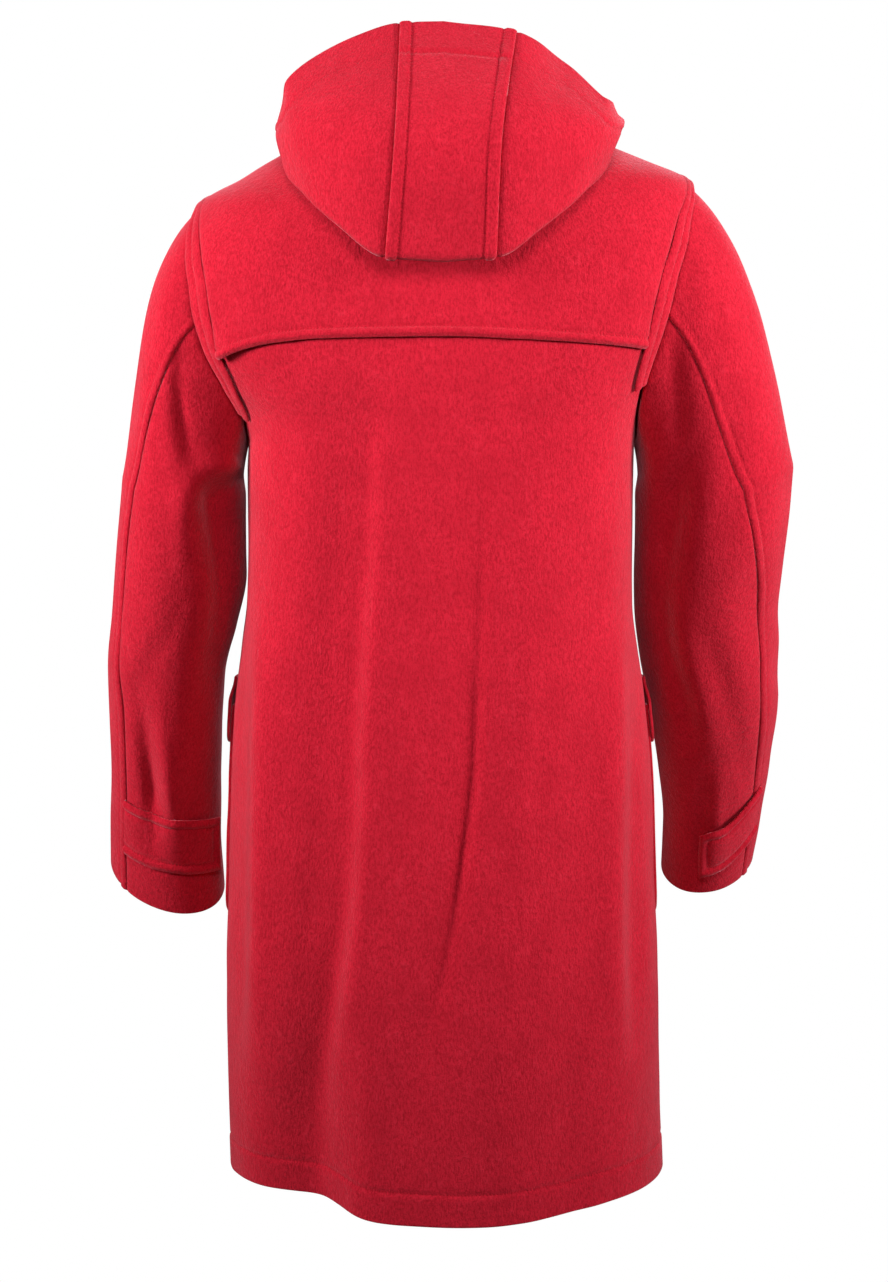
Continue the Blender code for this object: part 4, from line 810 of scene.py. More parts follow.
class Cloth:
    """A fine grid of points with its normals and the distance of each point from its edges."""

    def __init__(self, points, normals):
        self.base = points
        self.normals = normals
        down = along_axis(points, 0)
        across = along_axis(points, 1)
        self.top = down
        self.bottom = down[-1:] - down
        self.start = across
        self.end = across[:, -1:] - across
        self.rise = np.zeros(points.shape[:2])
        self.lines = []

    def edge(self, name):
        run = self.start if name in ("top", "bottom") else self.top
        return getattr(self, name), run

    def stitch(self, distance, run, depth=0.0008, width=0.0021, show=1.0):
        """A line of topstitching where distance is nought."""
        self.rise -= show * depth * np.exp(-(distance / width) ** 2)
        # the cloth puffs a little between its stitches, unevenly
        wave = np.sin(run / 0.0037) * np.sin(run / 0.0171 + 1.3 * np.sin(run / 0.043))
        self.rise += show * PUFF * wave * np.exp(-(distance / PUFF_REACH) ** 2)
        self.lines.append((np.where(show > 0.5, distance, 1.0), run))

    def hem(self, name, width):
        """A turned edge: double cloth up to a line of topstitching."""
        distance, run = self.edge(name)
        self.rise += HEM_RISE * smooth((width - distance) / HEM_SLOPE)
        self.stitch(distance - width, run, HEM_STITCH_DEPTH)

    def welt(self, name, width, rise=0.0015, depth=0.0008):
        """A lapped seam: a soft roll beside the seam, held by topstitching."""
        distance, run = self.edge(name)
        roll = smooth(distance / 0.0025) * smooth((width + 0.0006 - distance) / 0.0028)
        self.rise += rise * roll
        self.stitch(distance - width, run, depth)

    def sink(self, name, depth=0.0014, width=0.0025, show=1.0):
        """The cloth turns down into a seam."""
        distance, _ = self.edge(name)
        self.rise -= show * depth * np.exp(-(distance / width) ** 2)


def waves(points, seed, short, long):
    """Sum of a few plane waves, about -1 to 1."""
    chance = np.random.default_rng(seed)
    total = np.zeros(points.shape[:-1])
    count = 14
    for _ in range(count):
        way = unit(chance.normal(size=3))
        length = short * (long / short) ** chance.random()
        start = chance.random() * 2 * math.pi
        total += np.sin(points @ way * (2 * math.pi / length) + start)
    return total / math.sqrt(count)


RIM = (35.0, 70.0, 110.0, 145.0)    # degrees round a cloth edge
EDGES = {"top": (0, slice(None)), "bottom": (-1, slice(None)),
         "start": (slice(None), 0), "end": (slice(None), -1)}


def shell(name, cloths, nodes, free=("top", "bottom", "start", "end"), bulge=0.55, lows=None):
    """Closed thin wall over one or more grids that share an edge; free edges are rolled."""
    base, outer, inner, away, amount, lines, quads = [], [], [], [], [], [], []
    count = 0
    for k, cloth in enumerate(cloths):
        rows, cols = cloth.base.shape[:2]
        top = cloth.base + cloth.normals * cloth.rise[..., None]
        low = cloth.base - cloth.normals * CLOTH if lows is None else lows[k]
        index = np.arange(rows * cols).reshape(rows, cols)
        inside = index[np.ix_(np.clip(np.arange(rows), 1, rows - 2),
                              np.clip(np.arange(cols), 1, cols - 2))]
        flat = top.reshape(-1, 3)
        out = flat - flat[inside.ravel()]
        roll = np.zeros((rows, cols))
        for side in free:
            roll[EDGES[side]] = bulge
        q = np.stack([index[:-1, :-1], index[:-1, 1:], index[1:, 1:], index[1:, :-1]], -1)
        base.append(cloth.base.reshape(-1, 3))
        outer.append(flat)
        inner.append(low.reshape(-1, 3))
        away.append(out)
        amount.append(roll.ravel())
        lines.append(nearest_stitch(cloth))
        quads.append(q.reshape(-1, 4) + count)
        count += rows * cols
    base, outer, inner, away, amount, lines, quads = (
        np.concatenate(x) for x in (base, outer, inner, away, amount, lines, quads))
    if len(cloths) > 1:
        _, first, back = np.unique(np.round(base * 1e6), axis=0, return_index=True,
                                   return_inverse=True)
        quads = back.ravel()[quads]
        outer, inner, away, amount, lines = (x[first] for x in (outer, inner, away, amount, lines))
    count = len(outer)
    one = quads.ravel()
    two = np.roll(quads, -1, axis=1).ravel()
    border = ~np.isin(one * count + two, two * count + one)
    one, two = one[border], two[border]
    rim = np.unique(one)
    place = np.full(count, -1)
    place[rim] = np.arange(len(rim))
    a, b = outer[rim], inner[rim]
    up = a - b
    tall = np.linalg.norm(up, axis=1, keepdims=True)
    up = up / tall
    out = away[rim]
    out = unit(out - up * np.sum(out * up, axis=1, keepdims=True))
    points = [outer, inner]
    rings = [np.arange(count)]
    for k, degrees in enumerate(RIM):
        w = math.radians(degrees)
        points.append(a - up * tall * 0.5 * (1 - math.cos(w))
                      + out * tall * 0.5 * amount[rim, None] * math.sin(w))
        rings.append(2 * count + k * len(rim) + place)
    rings.append(np.arange(count) + count)
    faces = [quads, quads[:, ::-1] + count]
    for r0, r1 in zip(rings[:-1], rings[1:]):
        faces.append(np.stack([r0[two], r0[one], r1[one], r1[two]], -1))
    made = mesh_object(name, np.concatenate(points), np.concatenate(faces), MELTON)
    total = len(made.data.vertices)
    for k, label in enumerate(("stitch", "along")):
        values = np.full(total, 1.0 - k)
        values[:count] = lines[:, k]
        layer = made.data.attributes.new(label, "FLOAT", "POINT")
        layer.data.foreach_set("value", values.astype(np.float32))
    finish_piece(made, nodes)


def nearest_stitch(cloth):
    """Each point's distance from the nearest stitch line and its place along it."""
    shape = cloth.base.shape[:2]
    if not cloth.lines:
        return np.stack([np.ones(shape).ravel(), np.zeros(shape).ravel()], -1)
    away = np.array([np.broadcast_to(d, shape) for d, _ in cloth.lines])
    run = np.array([np.broadcast_to(r, shape) for _, r in cloth.lines])
    near = np.argmin(np.abs(away), axis=0)[None]
    pick = np.clip(np.take_along_axis(away, near, 0)[0].ravel(), -0.01, 0.01)
    return np.stack([pick, np.take_along_axis(run, near, 0)[0].ravel()], -1)


def placed(name, data):
    made = bpy.data.objects.new(name, data)
    bpy.context.scene.collection.objects.link(made)
    return made


def mesh_object(name, points, faces, colour):
    """Mesh object of quads that all face outward."""
    p = points[faces]
    flow = np.cross(p[:, 1] - p[:, 0], p[:, 2] - p[:, 0])
    flow = flow + np.cross(p[:, 2] - p[:, 0], p[:, 3] - p[:, 0])
    if np.sum(flow * p[:, 0]) < 0:
        faces = faces[:, ::-1]
    mesh = bpy.data.meshes.new(name)
    mesh.from_pydata(points.tolist(), [], faces.tolist())
    mesh.shade_smooth()
    mesh.materials.append(colour)
    return placed(name, mesh)


def finish_piece(made, nodes):
    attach(made, "root")
    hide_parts(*nodes)


class Nodes:
    """Short way to lay out one material's nodes."""

    def __init__(self, name):
        self.material = bpy.data.materials.new(name)
        self.material.use_nodes = True
        self.tree = self.material.node_tree
        self.shader = self.tree.nodes["Principled BSDF"]
        self.place = self.add("ShaderNodeTexCoord").outputs["Object"]

    def add(self, kind, **settings):
        made = self.tree.nodes.new(kind)
        for name, value in settings.items():
            setattr(made, name, value)
        return made

    def feed(self, socket, value):
        if isinstance(value, bpy.types.NodeSocket):
            self.tree.links.new(value, socket)
        else:
            socket.default_value = value

    def settle(self, **values):
        """Plain values of the shader's inputs; an underscore stands for a space."""
        for name, value in values.items():
            self.shader.inputs[name.replace("_", " ")].default_value = value

    def math(self, operation, a, b=0.0):
        made = self.add("ShaderNodeMath", operation=operation)
        self.feed(made.inputs[0], a)
        self.feed(made.inputs[1], b)
        return made.outputs[0]

    def between(self, value, low, high, out_low=0.0, out_high=1.0):
        made = self.add("ShaderNodeMapRange", interpolation_type="SMOOTHSTEP")
        self.feed(made.inputs[0], value)
        for k, number in enumerate((low, high, out_low, out_high)):
            made.inputs[1 + k].default_value = number
        return made.outputs[0]

    def noise(self, scale, detail=2.0, stretch=(1.0, 1.0, 1.0)):
        shift = self.add("ShaderNodeMapping")
        self.feed(shift.inputs["Vector"], self.place)
        shift.inputs["Scale"].default_value = stretch
        made = self.add("ShaderNodeTexNoise")
        self.feed(made.inputs["Vector"], shift.outputs[0])
        made.inputs["Scale"].default_value = scale
        made.inputs["Detail"].default_value = detail
        return made.outputs[0]

    def attribute(self, name):
        return self.add("ShaderNodeAttribute", attribute_name=name).outputs["Fac"]

    def mix(self, share, a, b):
        made = self.add("ShaderNodeMix", data_type="RGBA")
        self.feed(made.inputs["Factor"], share)
        self.feed(made.inputs[6], a)
        self.feed(made.inputs[7], b)
        return made.outputs[2]

    def bump(self, height, distance, strength=1.0, below=None):
        made = self.add("ShaderNodeBump")
        made.inputs["Strength"].default_value = strength
        made.inputs["Distance"].default_value = distance
        self.feed(made.inputs["Height"], height)
        if below is not None:
            self.feed(made.inputs["Normal"], below)
        return made.outputs[0]


NAP_DEEP = (0.315, 0.0058, 0.0150, 1.0)
NAP_MAIN = (0.500, 0.0112, 0.0280, 1.0)
NAP_BRIGHT = (0.630, 0.0250, 0.0520, 1.0)
# painted shade: colour of the sunk gaps between stitches
STITCH_GAP_SHADE = (0.22, 0.003, 0.008, 1.0)
STITCH_THREAD = (0.400, 0.007, 0.018, 1.0)
STITCH_LONG = 0.0034    # from one stitch to the next


def melton():
    """Heavy milled wool: felted nap with short fibres, fine speckle and topstitching, with painted
    shade in the sunk gaps between its stitches.
    """
    n = Nodes("melton")
    speck = n.noise(760.0, 3.0)
    tuft = n.noise(230.0, 3.0)
    cloud = n.noise(26.0, 3.0)
    fibres = n.noise(700.0, 2.0, (1.0, 1.0, 0.34))
    stroke = n.noise(150.0, 3.0, (1.0, 1.0, 0.45))
    nap = n.math("ADD", n.math("MULTIPLY", speck, 0.40), n.math("MULTIPLY", fibres, 0.60))
    wear = n.math("ADD", n.math("MULTIPLY", tuft, 0.6), n.math("MULTIPLY", stroke, 0.4))
    colour = n.mix(n.between(nap, 0.34, 0.62), NAP_DEEP, NAP_MAIN)
    colour = n.mix(n.between(wear, 0.50, 0.74, 0.0, 0.34), colour, NAP_BRIGHT)
    colour = n.mix(n.between(cloud, 0.36, 0.70, 0.0, 0.26), colour, NAP_DEEP)
    # topstitching: short raised threads sunk along a line; the gaps between the threads are
    # darkened as painted shade of the sunk groove
    away = n.math("ABSOLUTE", n.attribute("stitch"))
    line = n.between(away, 0.0002, 0.0013, 1.0, 0.0)
    beat = n.math("SINE", n.math("MULTIPLY", n.attribute("along"), 2 * math.pi / STITCH_LONG))
    thread = n.math("MULTIPLY", line, n.between(beat, -0.55, 0.05))
    hole = n.math("SUBTRACT", line, thread)
    # painted shade: the sunk gaps between the threads are darkened
    colour = n.mix(n.math("MULTIPLY", hole, 0.45), colour, STITCH_GAP_SHADE)
    colour = n.mix(n.math("MULTIPLY", thread, 0.25), colour, STITCH_THREAD)
    first = n.bump(n.math("SUBTRACT", n.math("MULTIPLY", thread, 0.5), hole), 0.0003, 0.5)
    second = n.bump(wear, 0.0024, 0.55, first)
    third = n.bump(nap, 0.0011, 0.85, second)
    n.feed(n.shader.inputs["Base Color"], colour)
    n.feed(n.shader.inputs["Normal"], third)
    n.settle(Roughness=0.94, Specular_IOR_Level=0.03, Sheen_Weight=0.36, Sheen_Roughness=0.42,
             Sheen_Tint=(1.0, 0.44, 0.52, 1.0))
    return n.material


def beech():
    """Turned light wood with a satin varnish, grain along the toggle."""
    n = Nodes("toggle_beech")
    grain = n.noise(260.0, 4.0, (0.12, 1.0, 1.0))
    fleck = n.noise(900.0, 2.0, (0.16, 1.0, 1.0))
    colour = n.mix(n.between(grain, 0.34, 0.66), (0.36, 0.19, 0.085, 1.0),
                   (0.56, 0.34, 0.165, 1.0))
    colour = n.mix(n.between(fleck, 0.60, 0.72, 0.0, 0.45), colour, (0.20, 0.095, 0.04, 1.0))
    n.feed(n.shader.inputs["Base Color"], colour)
    n.feed(n.shader.inputs["Roughness"], n.between(fleck, 0.3, 0.7, 0.34, 0.48))
    n.feed(n.shader.inputs["Normal"], n.bump(grain, 0.0003, 0.5))
    n.settle(Coat_Weight=0.25, Coat_Roughness=0.28)
    return n.material


def twist():
    """Twisted cotton cord in the coat's red."""
    n = Nodes("twist_cord")
    fluff = n.noise(1500.0, 2.0)
    shade = n.noise(300.0, 2.0)
    colour = n.mix(n.between(fluff, 0.34, 0.66), (0.250, 0.006, 0.014, 1.0),
                   (0.470, 0.016, 0.032, 1.0))
    colour = n.mix(n.between(shade, 0.4, 0.7, 0.0, 0.4), colour, (0.20, 0.005, 0.010, 1.0))
    n.feed(n.shader.inputs["Base Color"], colour)
    n.feed(n.shader.inputs["Normal"], n.bump(fluff, 0.0004, 0.7))
    n.settle(Roughness=0.82, Specular_IOR_Level=0.25, Sheen_Weight=0.25, Sheen_Roughness=0.5)
    return n.material


MELTON = melton()
BEECH = beech()
TWIST = twist()


# ---------------------------------------------------------------- body panels
LOW_HEM = 0.030         # depth of the coat's hem
CUFF_HEM = 0.028
EDGE_STITCH = 0.009     # topstitching beside a front edge
RIPPLE = 0.00035        # small unevenness of worn cloth


def on_body(grid):
    return skin(grid[..., 0], grid[..., 1])


def ripple(cloth, seed, size=RIPPLE, short=0.030, long=0.12):
    cloth.rise += size * waves(cloth.base * np.array([1.0, 1.0, 0.6]), seed, short, long)


def body_cloth(places_on_body, seed, lift=None):
    angle, t = places_on_body[..., 0], places_on_body[..., 1]
    normals = skin_normal(angle, t)
    base = skin(angle, t)
    if lift is not None:
        base = base + normals * lift(base)[..., None]
    cloth = Cloth(base, normals)
    ripple(cloth, seed)
    return cloth


def back_piece():
    coarse = []
    for t in rows_for_body()[::-1]:
        a = equal_steps(t, 0, trim(0, row_limit(1, t, True), t), BODY_ROUND)
        b = equal_steps(t, 0, trim(0, row_limit(-1, t, True), t), BODY_ROUND)
        angles = np.concatenate([b[::-1], a[1:]])
        coarse.append(np.stack([angles, np.full(len(angles), t)], -1))
    grid = finer(np.array(coarse), on_body, 0.0046, ((0.0, 0.004), (-LOW_HEM, 0.0014),
                                                    (END, 0.0014)),
                 0.0034, ((0.0, 0.0018), (END, 0.0018)))
    cloth = body_cloth(grid, 11)
    cloth.hem("bottom", LOW_HEM)
    cloth.sink("start")
    cloth.sink("end")
    lean = cloth.normals.copy()
    rows = grid[:, 0, 1]
    lean[:, -1] = seam_lean(1, rows, lean[:, -1], True)
    lean[:, 0] = seam_lean(-1, rows, lean[:, 0], True)
    shell("back_cloth", [cloth], ["back"], free=("bottom",), lows=[cloth.base - lean * CLOTH])


def front_piece(side):
    coarse = []
    for t in rows_for_body()[::-1]:
        end = float(front_end(side, t))
        start = trim(end, row_limit(side, t, False), t)
        angles = equal_steps(t, start, end, BODY_ROUND)
        coarse.append(np.stack([angles, np.full(len(angles), t)], -1))
    grid = finer(np.array(coarse), on_body, 0.0055, ((0.0, 0.004), (-LOW_HEM, 0.0014),
                                                    (END, 0.0014)),
                 0.0042, ((0.0, 0.0018), (-EDGE_STITCH, 0.0014), (END, 0.0014)))
    cloth = body_cloth(grid, 21 + side, lambda p: under_lap(side, p[..., 0]))
    cloth.hem("bottom", LOW_HEM)
    cloth.hem("end", EDGE_STITCH)
    cloth.sink("start")
    lean = cloth.normals.copy()
    lean[:, 0] = seam_lean(side, grid[:, 0, 1], lean[:, 0], False)
    which = HAND[side]
    shell("front_%s_cloth" % which, [cloth], ["front_" + which], free=("bottom", "end"),
          lows=[cloth.base - lean * CLOTH])


# ---------------------------------------------------------------- yoke and bands
YOKE_ROLL = 0.0085      # the turned lower edge of the yoke
TIP_ROW = 4             # last row of the yoke's table that runs over the shoulder


def yoke_table(first, last, back, cols, lower):
    """Coarse table of (angle, height) for one part of the yoke, neck to lower edge."""
    shared = yoke_rows()
    table = []
    for t in shared:
        a = equal_steps(t, first(t), last(t), cols)
        table.append(np.stack([a, np.full(cols + 1, t)], -1))
    for share in np.linspace(0, 1, lower + 1)[1:]:
        t = np.full(cols + 1, shared[-1])
        a = table[-1][:, 0].copy()
        for _ in range(6):
            low = np.array([yoke_low(x, back) for x in a])
            t = shared[-1] + (low - shared[-1]) * share
            for k in range(cols + 1):
                row = equal_steps(t[k], first(t[k]), last(t[k]), cols)
                a[k] = row[k]
        table.append(np.stack([a, t], -1))
    return np.array(table)


# soft dents and lifts of the yoke: place (x, z), reach across and down, rise
YOKE_SHAPES = (
    ((0.200, -0.226), 0.016, 0.020, 0.0050),
    ((-0.196, -0.222), 0.014, 0.018, 0.0030),
)


def yoke_part(table, top_rows, row_marks, col_marks, seed):
    low_rows = places(on_body(table[TIP_ROW:]), 0, 0.0034, row_marks)[1:] + TIP_ROW
    tall = between(table, np.concatenate([top_rows, low_rows]))
    cols = places(on_body(table), 1, 0.0032, col_marks)
    grid = np.transpose(between(np.transpose(tall, (1, 0, 2)), cols), (1, 0, 2))
    angle, t = grid[..., 0], grid[..., 1]
    normals = skin_normal(angle, t)
    base = skin(angle, t)
    lift = np.full(t.shape, SHOULDER_LAY + CLOTH)
    for (x, z), wide, tall, rise in YOKE_SHAPES:
        away = ((base[..., 0] - x) / wide) ** 2 + ((base[..., 2] - z) / tall) ** 2
        lift += rise * np.exp(-away) * (base[..., 1] > 0)
    cloth = Cloth(base + normals * lift[..., None], normals)
    ripple(cloth, seed)
    cloth.welt("bottom", YOKE_ROLL, 0.0022, 0.0011)
    below_tip = smooth((TIP_Z - t) / 0.03)
    return cloth, below_tip


def yoke_piece():
    back = yoke_table(lambda t: band_limit(-1, t, True), lambda t: band_limit(1, t, True),
                      True, YOKE_COLS_BACK, 3)
    top_rows = places(on_body(back[:TIP_ROW + 1]), 0, 0.0034, ((0.0, 0.0018),))
    edge = ((0.0, 0.0014), (END, 0.0014))
    low = ((END, 0.0012), (-YOKE_ROLL, 0.0012))
    cloth, below = yoke_part(back, top_rows, low, edge, 31)
    cloth.sink("start", show=below)
    cloth.sink("end", show=below)
    parts = [cloth]
    for side in (1, -1):
        table = yoke_table(lambda t: band_limit(side, t, False),
                           lambda t: yoke_front_end(side, t), False, YOKE_COLS_FRONT, 2)
        if side < 0:
            table = table[:, ::-1]
        cloth, below = yoke_part(table, top_rows, low, edge, 32 + side)
        cloth.sink("start" if side > 0 else "end", show=below)
        cloth.hem("end" if side > 0 else "start", EDGE_STITCH)
        parts.append(cloth)
    shell("yoke_cloth", parts, ["yoke"], free=("bottom",), bulge=0.8)


def band_piece(side):
    first, last = math.radians(BAND_FROM[side]), math.radians(315)
    theta = np.linspace(first, last, 60)
    run = run_along(skin(*armhole(side, theta, 0.008)))
    at = np.interp(steps(run[-1], 0.0032, ((0.0, 0.0012), (END, 0.0012))) * run[-1], run, theta)
    grows = np.linspace(0.0008, BAND_WIDTH - SEAM, 21)
    base, normals = [], []
    for g in grows:
        a, t = armhole(side, at, g)
        base.append(skin(a, t))
        normals.append(skin_normal(a, t))
    base = np.transpose(np.array(base), (1, 0, 2))
    normals = np.transpose(np.array(normals), (1, 0, 2))
    share = np.linspace(0, 1, len(grows))[None]
    tall = 0.50 + 0.50 * np.abs(np.sin(2 * math.pi * share)) ** 0.55
    cloth = Cloth(base + normals * (SHOULDER_LAY + BAND_CLOTH * 1.45 * tall)[..., None], normals)
    ripple(cloth, 41 + side, 0.00022, 0.012, 0.04)
    middle = cloth.start - cloth.start[:, [len(grows) // 2]]
    cloth.lines.append((middle, cloth.top))
    which = HAND[side]
    shell("armhole_band_%s_cloth" % which, [cloth], ["armhole_band_" + which],
          lows=[base + normals * SHOULDER_LAY])


# ---------------------------------------------------------------- sleeves
SLEEVE_WELT = 0.0095


def sleeve_piece(side, upper):
    v = np.concatenate([np.linspace(-1, 0, CAP_ROWS + 1), np.linspace(0, 1, SLEEVE_ROWS + 1)[1:]])
    count = 14 if upper else 10
    coarse = []
    for value in v:
        b = float(seam_angle(LEFT_SEAM if side > 0 else RIGHT_SEAM, value))
        f = float(seam_angle(FRONT_SEAM, value))
        first, last = (b, f) if upper else (f, b + 2 * math.pi)
        ring = np.linspace(first, last, count + 1)
        p = sleeve_point(side, np.full(len(ring), value), ring)
        step0 = np.linalg.norm(p[1] - p[0]) / abs(ring[1] - ring[0])
        step1 = np.linalg.norm(p[-1] - p[-2]) / abs(ring[-1] - ring[-2])
        ring = np.linspace(first + SEAM / 2 / step0, last - SEAM / 2 / step1, count + 1)
        coarse.append(np.stack([np.full(count + 1, value), ring], -1))
    welt = ((SLEEVE_WELT, 0.0013),) if upper else ()
    grid = finer(np.array(coarse), lambda g: sleeve_point(side, g[..., 0], g[..., 1]),
                 0.0044, ((0.0, 0.0016), (-CUFF_HEM, 0.0014), (END, 0.0014)),
                 0.0029 if upper else 0.0033, ((0.0, 0.0013), (END, 0.0015)) + welt)
    base = sleeve_point(side, grid[..., 0], grid[..., 1])
    normals = sleeve_normal(side, grid[..., 0], grid[..., 1])
    lean = normals.copy()
    lean[0] = mitre(side, grid[0, :, 1], lean[0])
    ahead = unit(base[1] - base[0]) * SEAM
    base[0] = base[0] + ahead
    cloth = Cloth(base, normals)
    ripple(cloth, 51 + side * 2 + upper)
    cloth.sink("top", 0.0016, 0.0030)
    cloth.sink("end", 0.0008, 0.0020)
    if upper:
        cloth.welt("start", SLEEVE_WELT)
    else:
        cloth.sink("start", 0.0008, 0.0020)
    which = "%s_%s" % ("upper" if upper else "under", HAND[side])
    shell("sleeve_%s_cloth" % which, [cloth], ["sleeve_" + which], free=("bottom",),
          lows=[base - lean * CLOTH])


# ---------------------------------------------------------------- hood
FACE_HEM = 0.035
GUSSET_WELT = 0.011
HOOD_GAP = 0.0006


def hood_points(us, vs):
    return np.transpose(np.array([hood_curve(u, vs) for u in us]), (1, 0, 2))


def hood_piece(us, row_gap, col_gap, col_marks, seed):
    """Cloth over the ribs us, from the neck seam to the face edge."""
    rough = hood_points(us, HOOD_V)
    rows = places(rough, 0, row_gap, ((0.0, 0.0014), (-FACE_HEM, 0.0013), (END, 0.0013)))
    cols = places(rough, 1, col_gap, col_marks)
    vs = np.interp(rows, np.arange(len(HOOD_V)), HOOD_V)
    fine = np.interp(cols, np.arange(len(us)), us)
    base = hood_points(fine, vs)
    normals = unit(np.cross(np.gradient(base, axis=0), np.gradient(base, axis=1)))
    cloth = Cloth(base, normals)
    ripple(cloth, seed)
    cloth.hem("bottom", FACE_HEM)
    cloth.sink("top")
    return cloth


def hood_pieces():
    far = np.concatenate([[GUSSET_SHARE + HOOD_GAP, GUSSET_SHARE + 0.035],
                          np.linspace(0.26, 0.62, 4), np.linspace(0.68, 0.96, 8), [1.0]])
    seam = (0.0, 0.0013)
    for side in (1, -1):
        us = far if side > 0 else -far[::-1]
        seam_edge, open_edge = ("start", "end") if side > 0 else ("end", "start")
        cloth = hood_piece(us, 0.0042, 0.0036, (seam, (END, 0.0013)), 61 + side)
        cloth.sink(seam_edge)
        which = HAND[side]
        shell("hood_side_%s_cloth" % which, [cloth], ["hood_side_" + which],
              free=("bottom", open_edge))
    us = np.linspace(-GUSSET_SHARE + HOOD_GAP, GUSSET_SHARE - HOOD_GAP, 5)
    marks = (seam, (GUSSET_WELT, 0.0012), (-GUSSET_WELT, 0.0012), (END, 0.0013))
    cloth = hood_piece(us, 0.0036, 0.0030, marks, 64)
    cloth.welt("start", GUSSET_WELT, 0.0018, 0.0009)
    cloth.welt("end", GUSSET_WELT, 0.0018, 0.0009)
    shell("hood_gusset_cloth", [cloth], ["hood_gusset"], free=("bottom",))


# ---------------------------------------------------------------- pockets and flaps
def patch_table(side, near, far, top, bottom, rounding):
    """Coarse table of (angle, height, reach) of a patch with rounded lower corners."""
    across = near + (far - near) * 0.5 * (1 - np.cos(np.linspace(0, math.pi, 21)))
    edge = np.minimum(across - near, far - across)
    inset = np.clip(rounding - edge, 0, rounding)
    low = bottom + rounding - np.sqrt(np.maximum(rounding ** 2 - inset ** 2, 0))
    t = top + (low - top)[None] * np.linspace(0, 1, 7)[:, None]
    angle = np.array([[front_angle(side, tt, a) for tt, a in zip(row, across)] for row in t])
    return np.stack([angle, t, np.broadcast_to(across, t.shape)], -1)


def patch_piece(name, node, side, near, far, top, bottom, rounding, lift, seed):
    table = patch_table(side, near, far, top, bottom, rounding)
    edge = ((0.0, 0.0012), (POCKET_BORDER, 0.0013), (-POCKET_BORDER, 0.0013), (END, 0.0012))
    grid = finer(table, on_body, 0.0034, edge, 0.0034, edge)
    angle, t, reach = grid[..., 0], grid[..., 1], grid[..., 2]
    normals = skin_normal(angle, t)
    low = skin(angle, t) + normals * lift(t)[..., None]
    cloth = Cloth(low + normals * CLOTH, normals)
    ripple(cloth, seed)
    side_away = np.minimum(reach - near, far - reach)
    inset = np.maximum(rounding - side_away, 0)
    fall = np.maximum(bottom + rounding - t, 0)
    corner = rounding - np.hypot(inset, fall)
    away = np.where((inset > 0) & (fall > 0), corner, np.minimum(side_away, t - bottom))
    away = np.minimum(away, top - t)
    cloth.rise += 0.0004 * smooth((POCKET_BORDER + 0.0005 - away) / 0.003)
    cloth.stitch(away - POCKET_BORDER, reach - t)
    shell(name, [cloth], [node], lows=[low])


def pocket_pieces(side):
    """Patch pocket and its flap; the flap passes from the front over the pocket."""
    which = HAND[side]
    patch_piece("pocket_%s_cloth" % which, "pocket_" + which, side, POCKET_NEAR, POCKET_FAR,
                POCKET_TOP, POCKET_BOTTOM, POCKET_ROUND, lambda t: 0 * t + LAY, 71 + side)

    def over(t):
        below = FLAP_TOP - 0.004 - t
        return LAY + (CLOTH + LAY) * smooth(below / (FLAP_TOP - POCKET_TOP - 0.008))

    patch_piece("flap_%s_cloth" % which, "flap_" + which, side, POCKET_NEAR - FLAP_OVER,
                POCKET_FAR + FLAP_OVER, FLAP_TOP, FLAP_BOTTOM, POCKET_ROUND * 0.7, over,
                74 + side)


# ---------------------------------------------------------------- cuff tabs
TAB_BORDER = 0.0095


def tab_piece(side):
    table = TAB_LEFT if side > 0 else TAB_RIGHT
    angle = np.linspace(table[0][0], table[-1][0], 8)
    top = column(table, TAB_COLUMNS, "top", angle)
    bottom = column(table, TAB_COLUMNS, "bottom", angle)
    lift = column(table, TAB_COLUMNS, "lift", angle)
    across = np.linspace(0, 1, 7)
    z = top[None] + (bottom - top)[None] * across[:, None]
    theta = np.radians(np.repeat(angle[None], len(across), 0))
    v = sleeve_level(side, theta, z)
    coarse = np.stack([v, theta, np.repeat(lift[None], len(across), 0)], -1)
    edge = ((0.0, 0.0011), (END, 0.0011))
    border = ((TAB_BORDER, 0.0012), (-TAB_BORDER, 0.0012))
    grid = finer(coarse, lambda g: sleeve_point(side, g[..., 0], g[..., 1]), 0.0024,
                 edge + border, 0.0026, edge + border[:1])
    base = sleeve_point(side, grid[..., 0], grid[..., 1])
    normals = sleeve_normal(side, grid[..., 0], grid[..., 1])
    low = base + normals * (TAB_LAY + grid[..., 2])[..., None]
    cloth = Cloth(low + normals * CLOTH, normals)
    ripple(cloth, 81 + side, 0.0002, 0.02, 0.06)
    away = np.minimum(np.minimum(cloth.top, cloth.bottom), cloth.start)
    cloth.rise += 0.0018 * smooth(away / 0.0035) * smooth((TAB_BORDER - away) / 0.0035)
    cloth.stitch(away - TAB_BORDER, cloth.start + cloth.top, 0.0011, 0.0024)
    which = HAND[side]
    shell("cuff_tab_%s_cloth" % which, [cloth], ["cuff_tab_" + which], lows=[low])


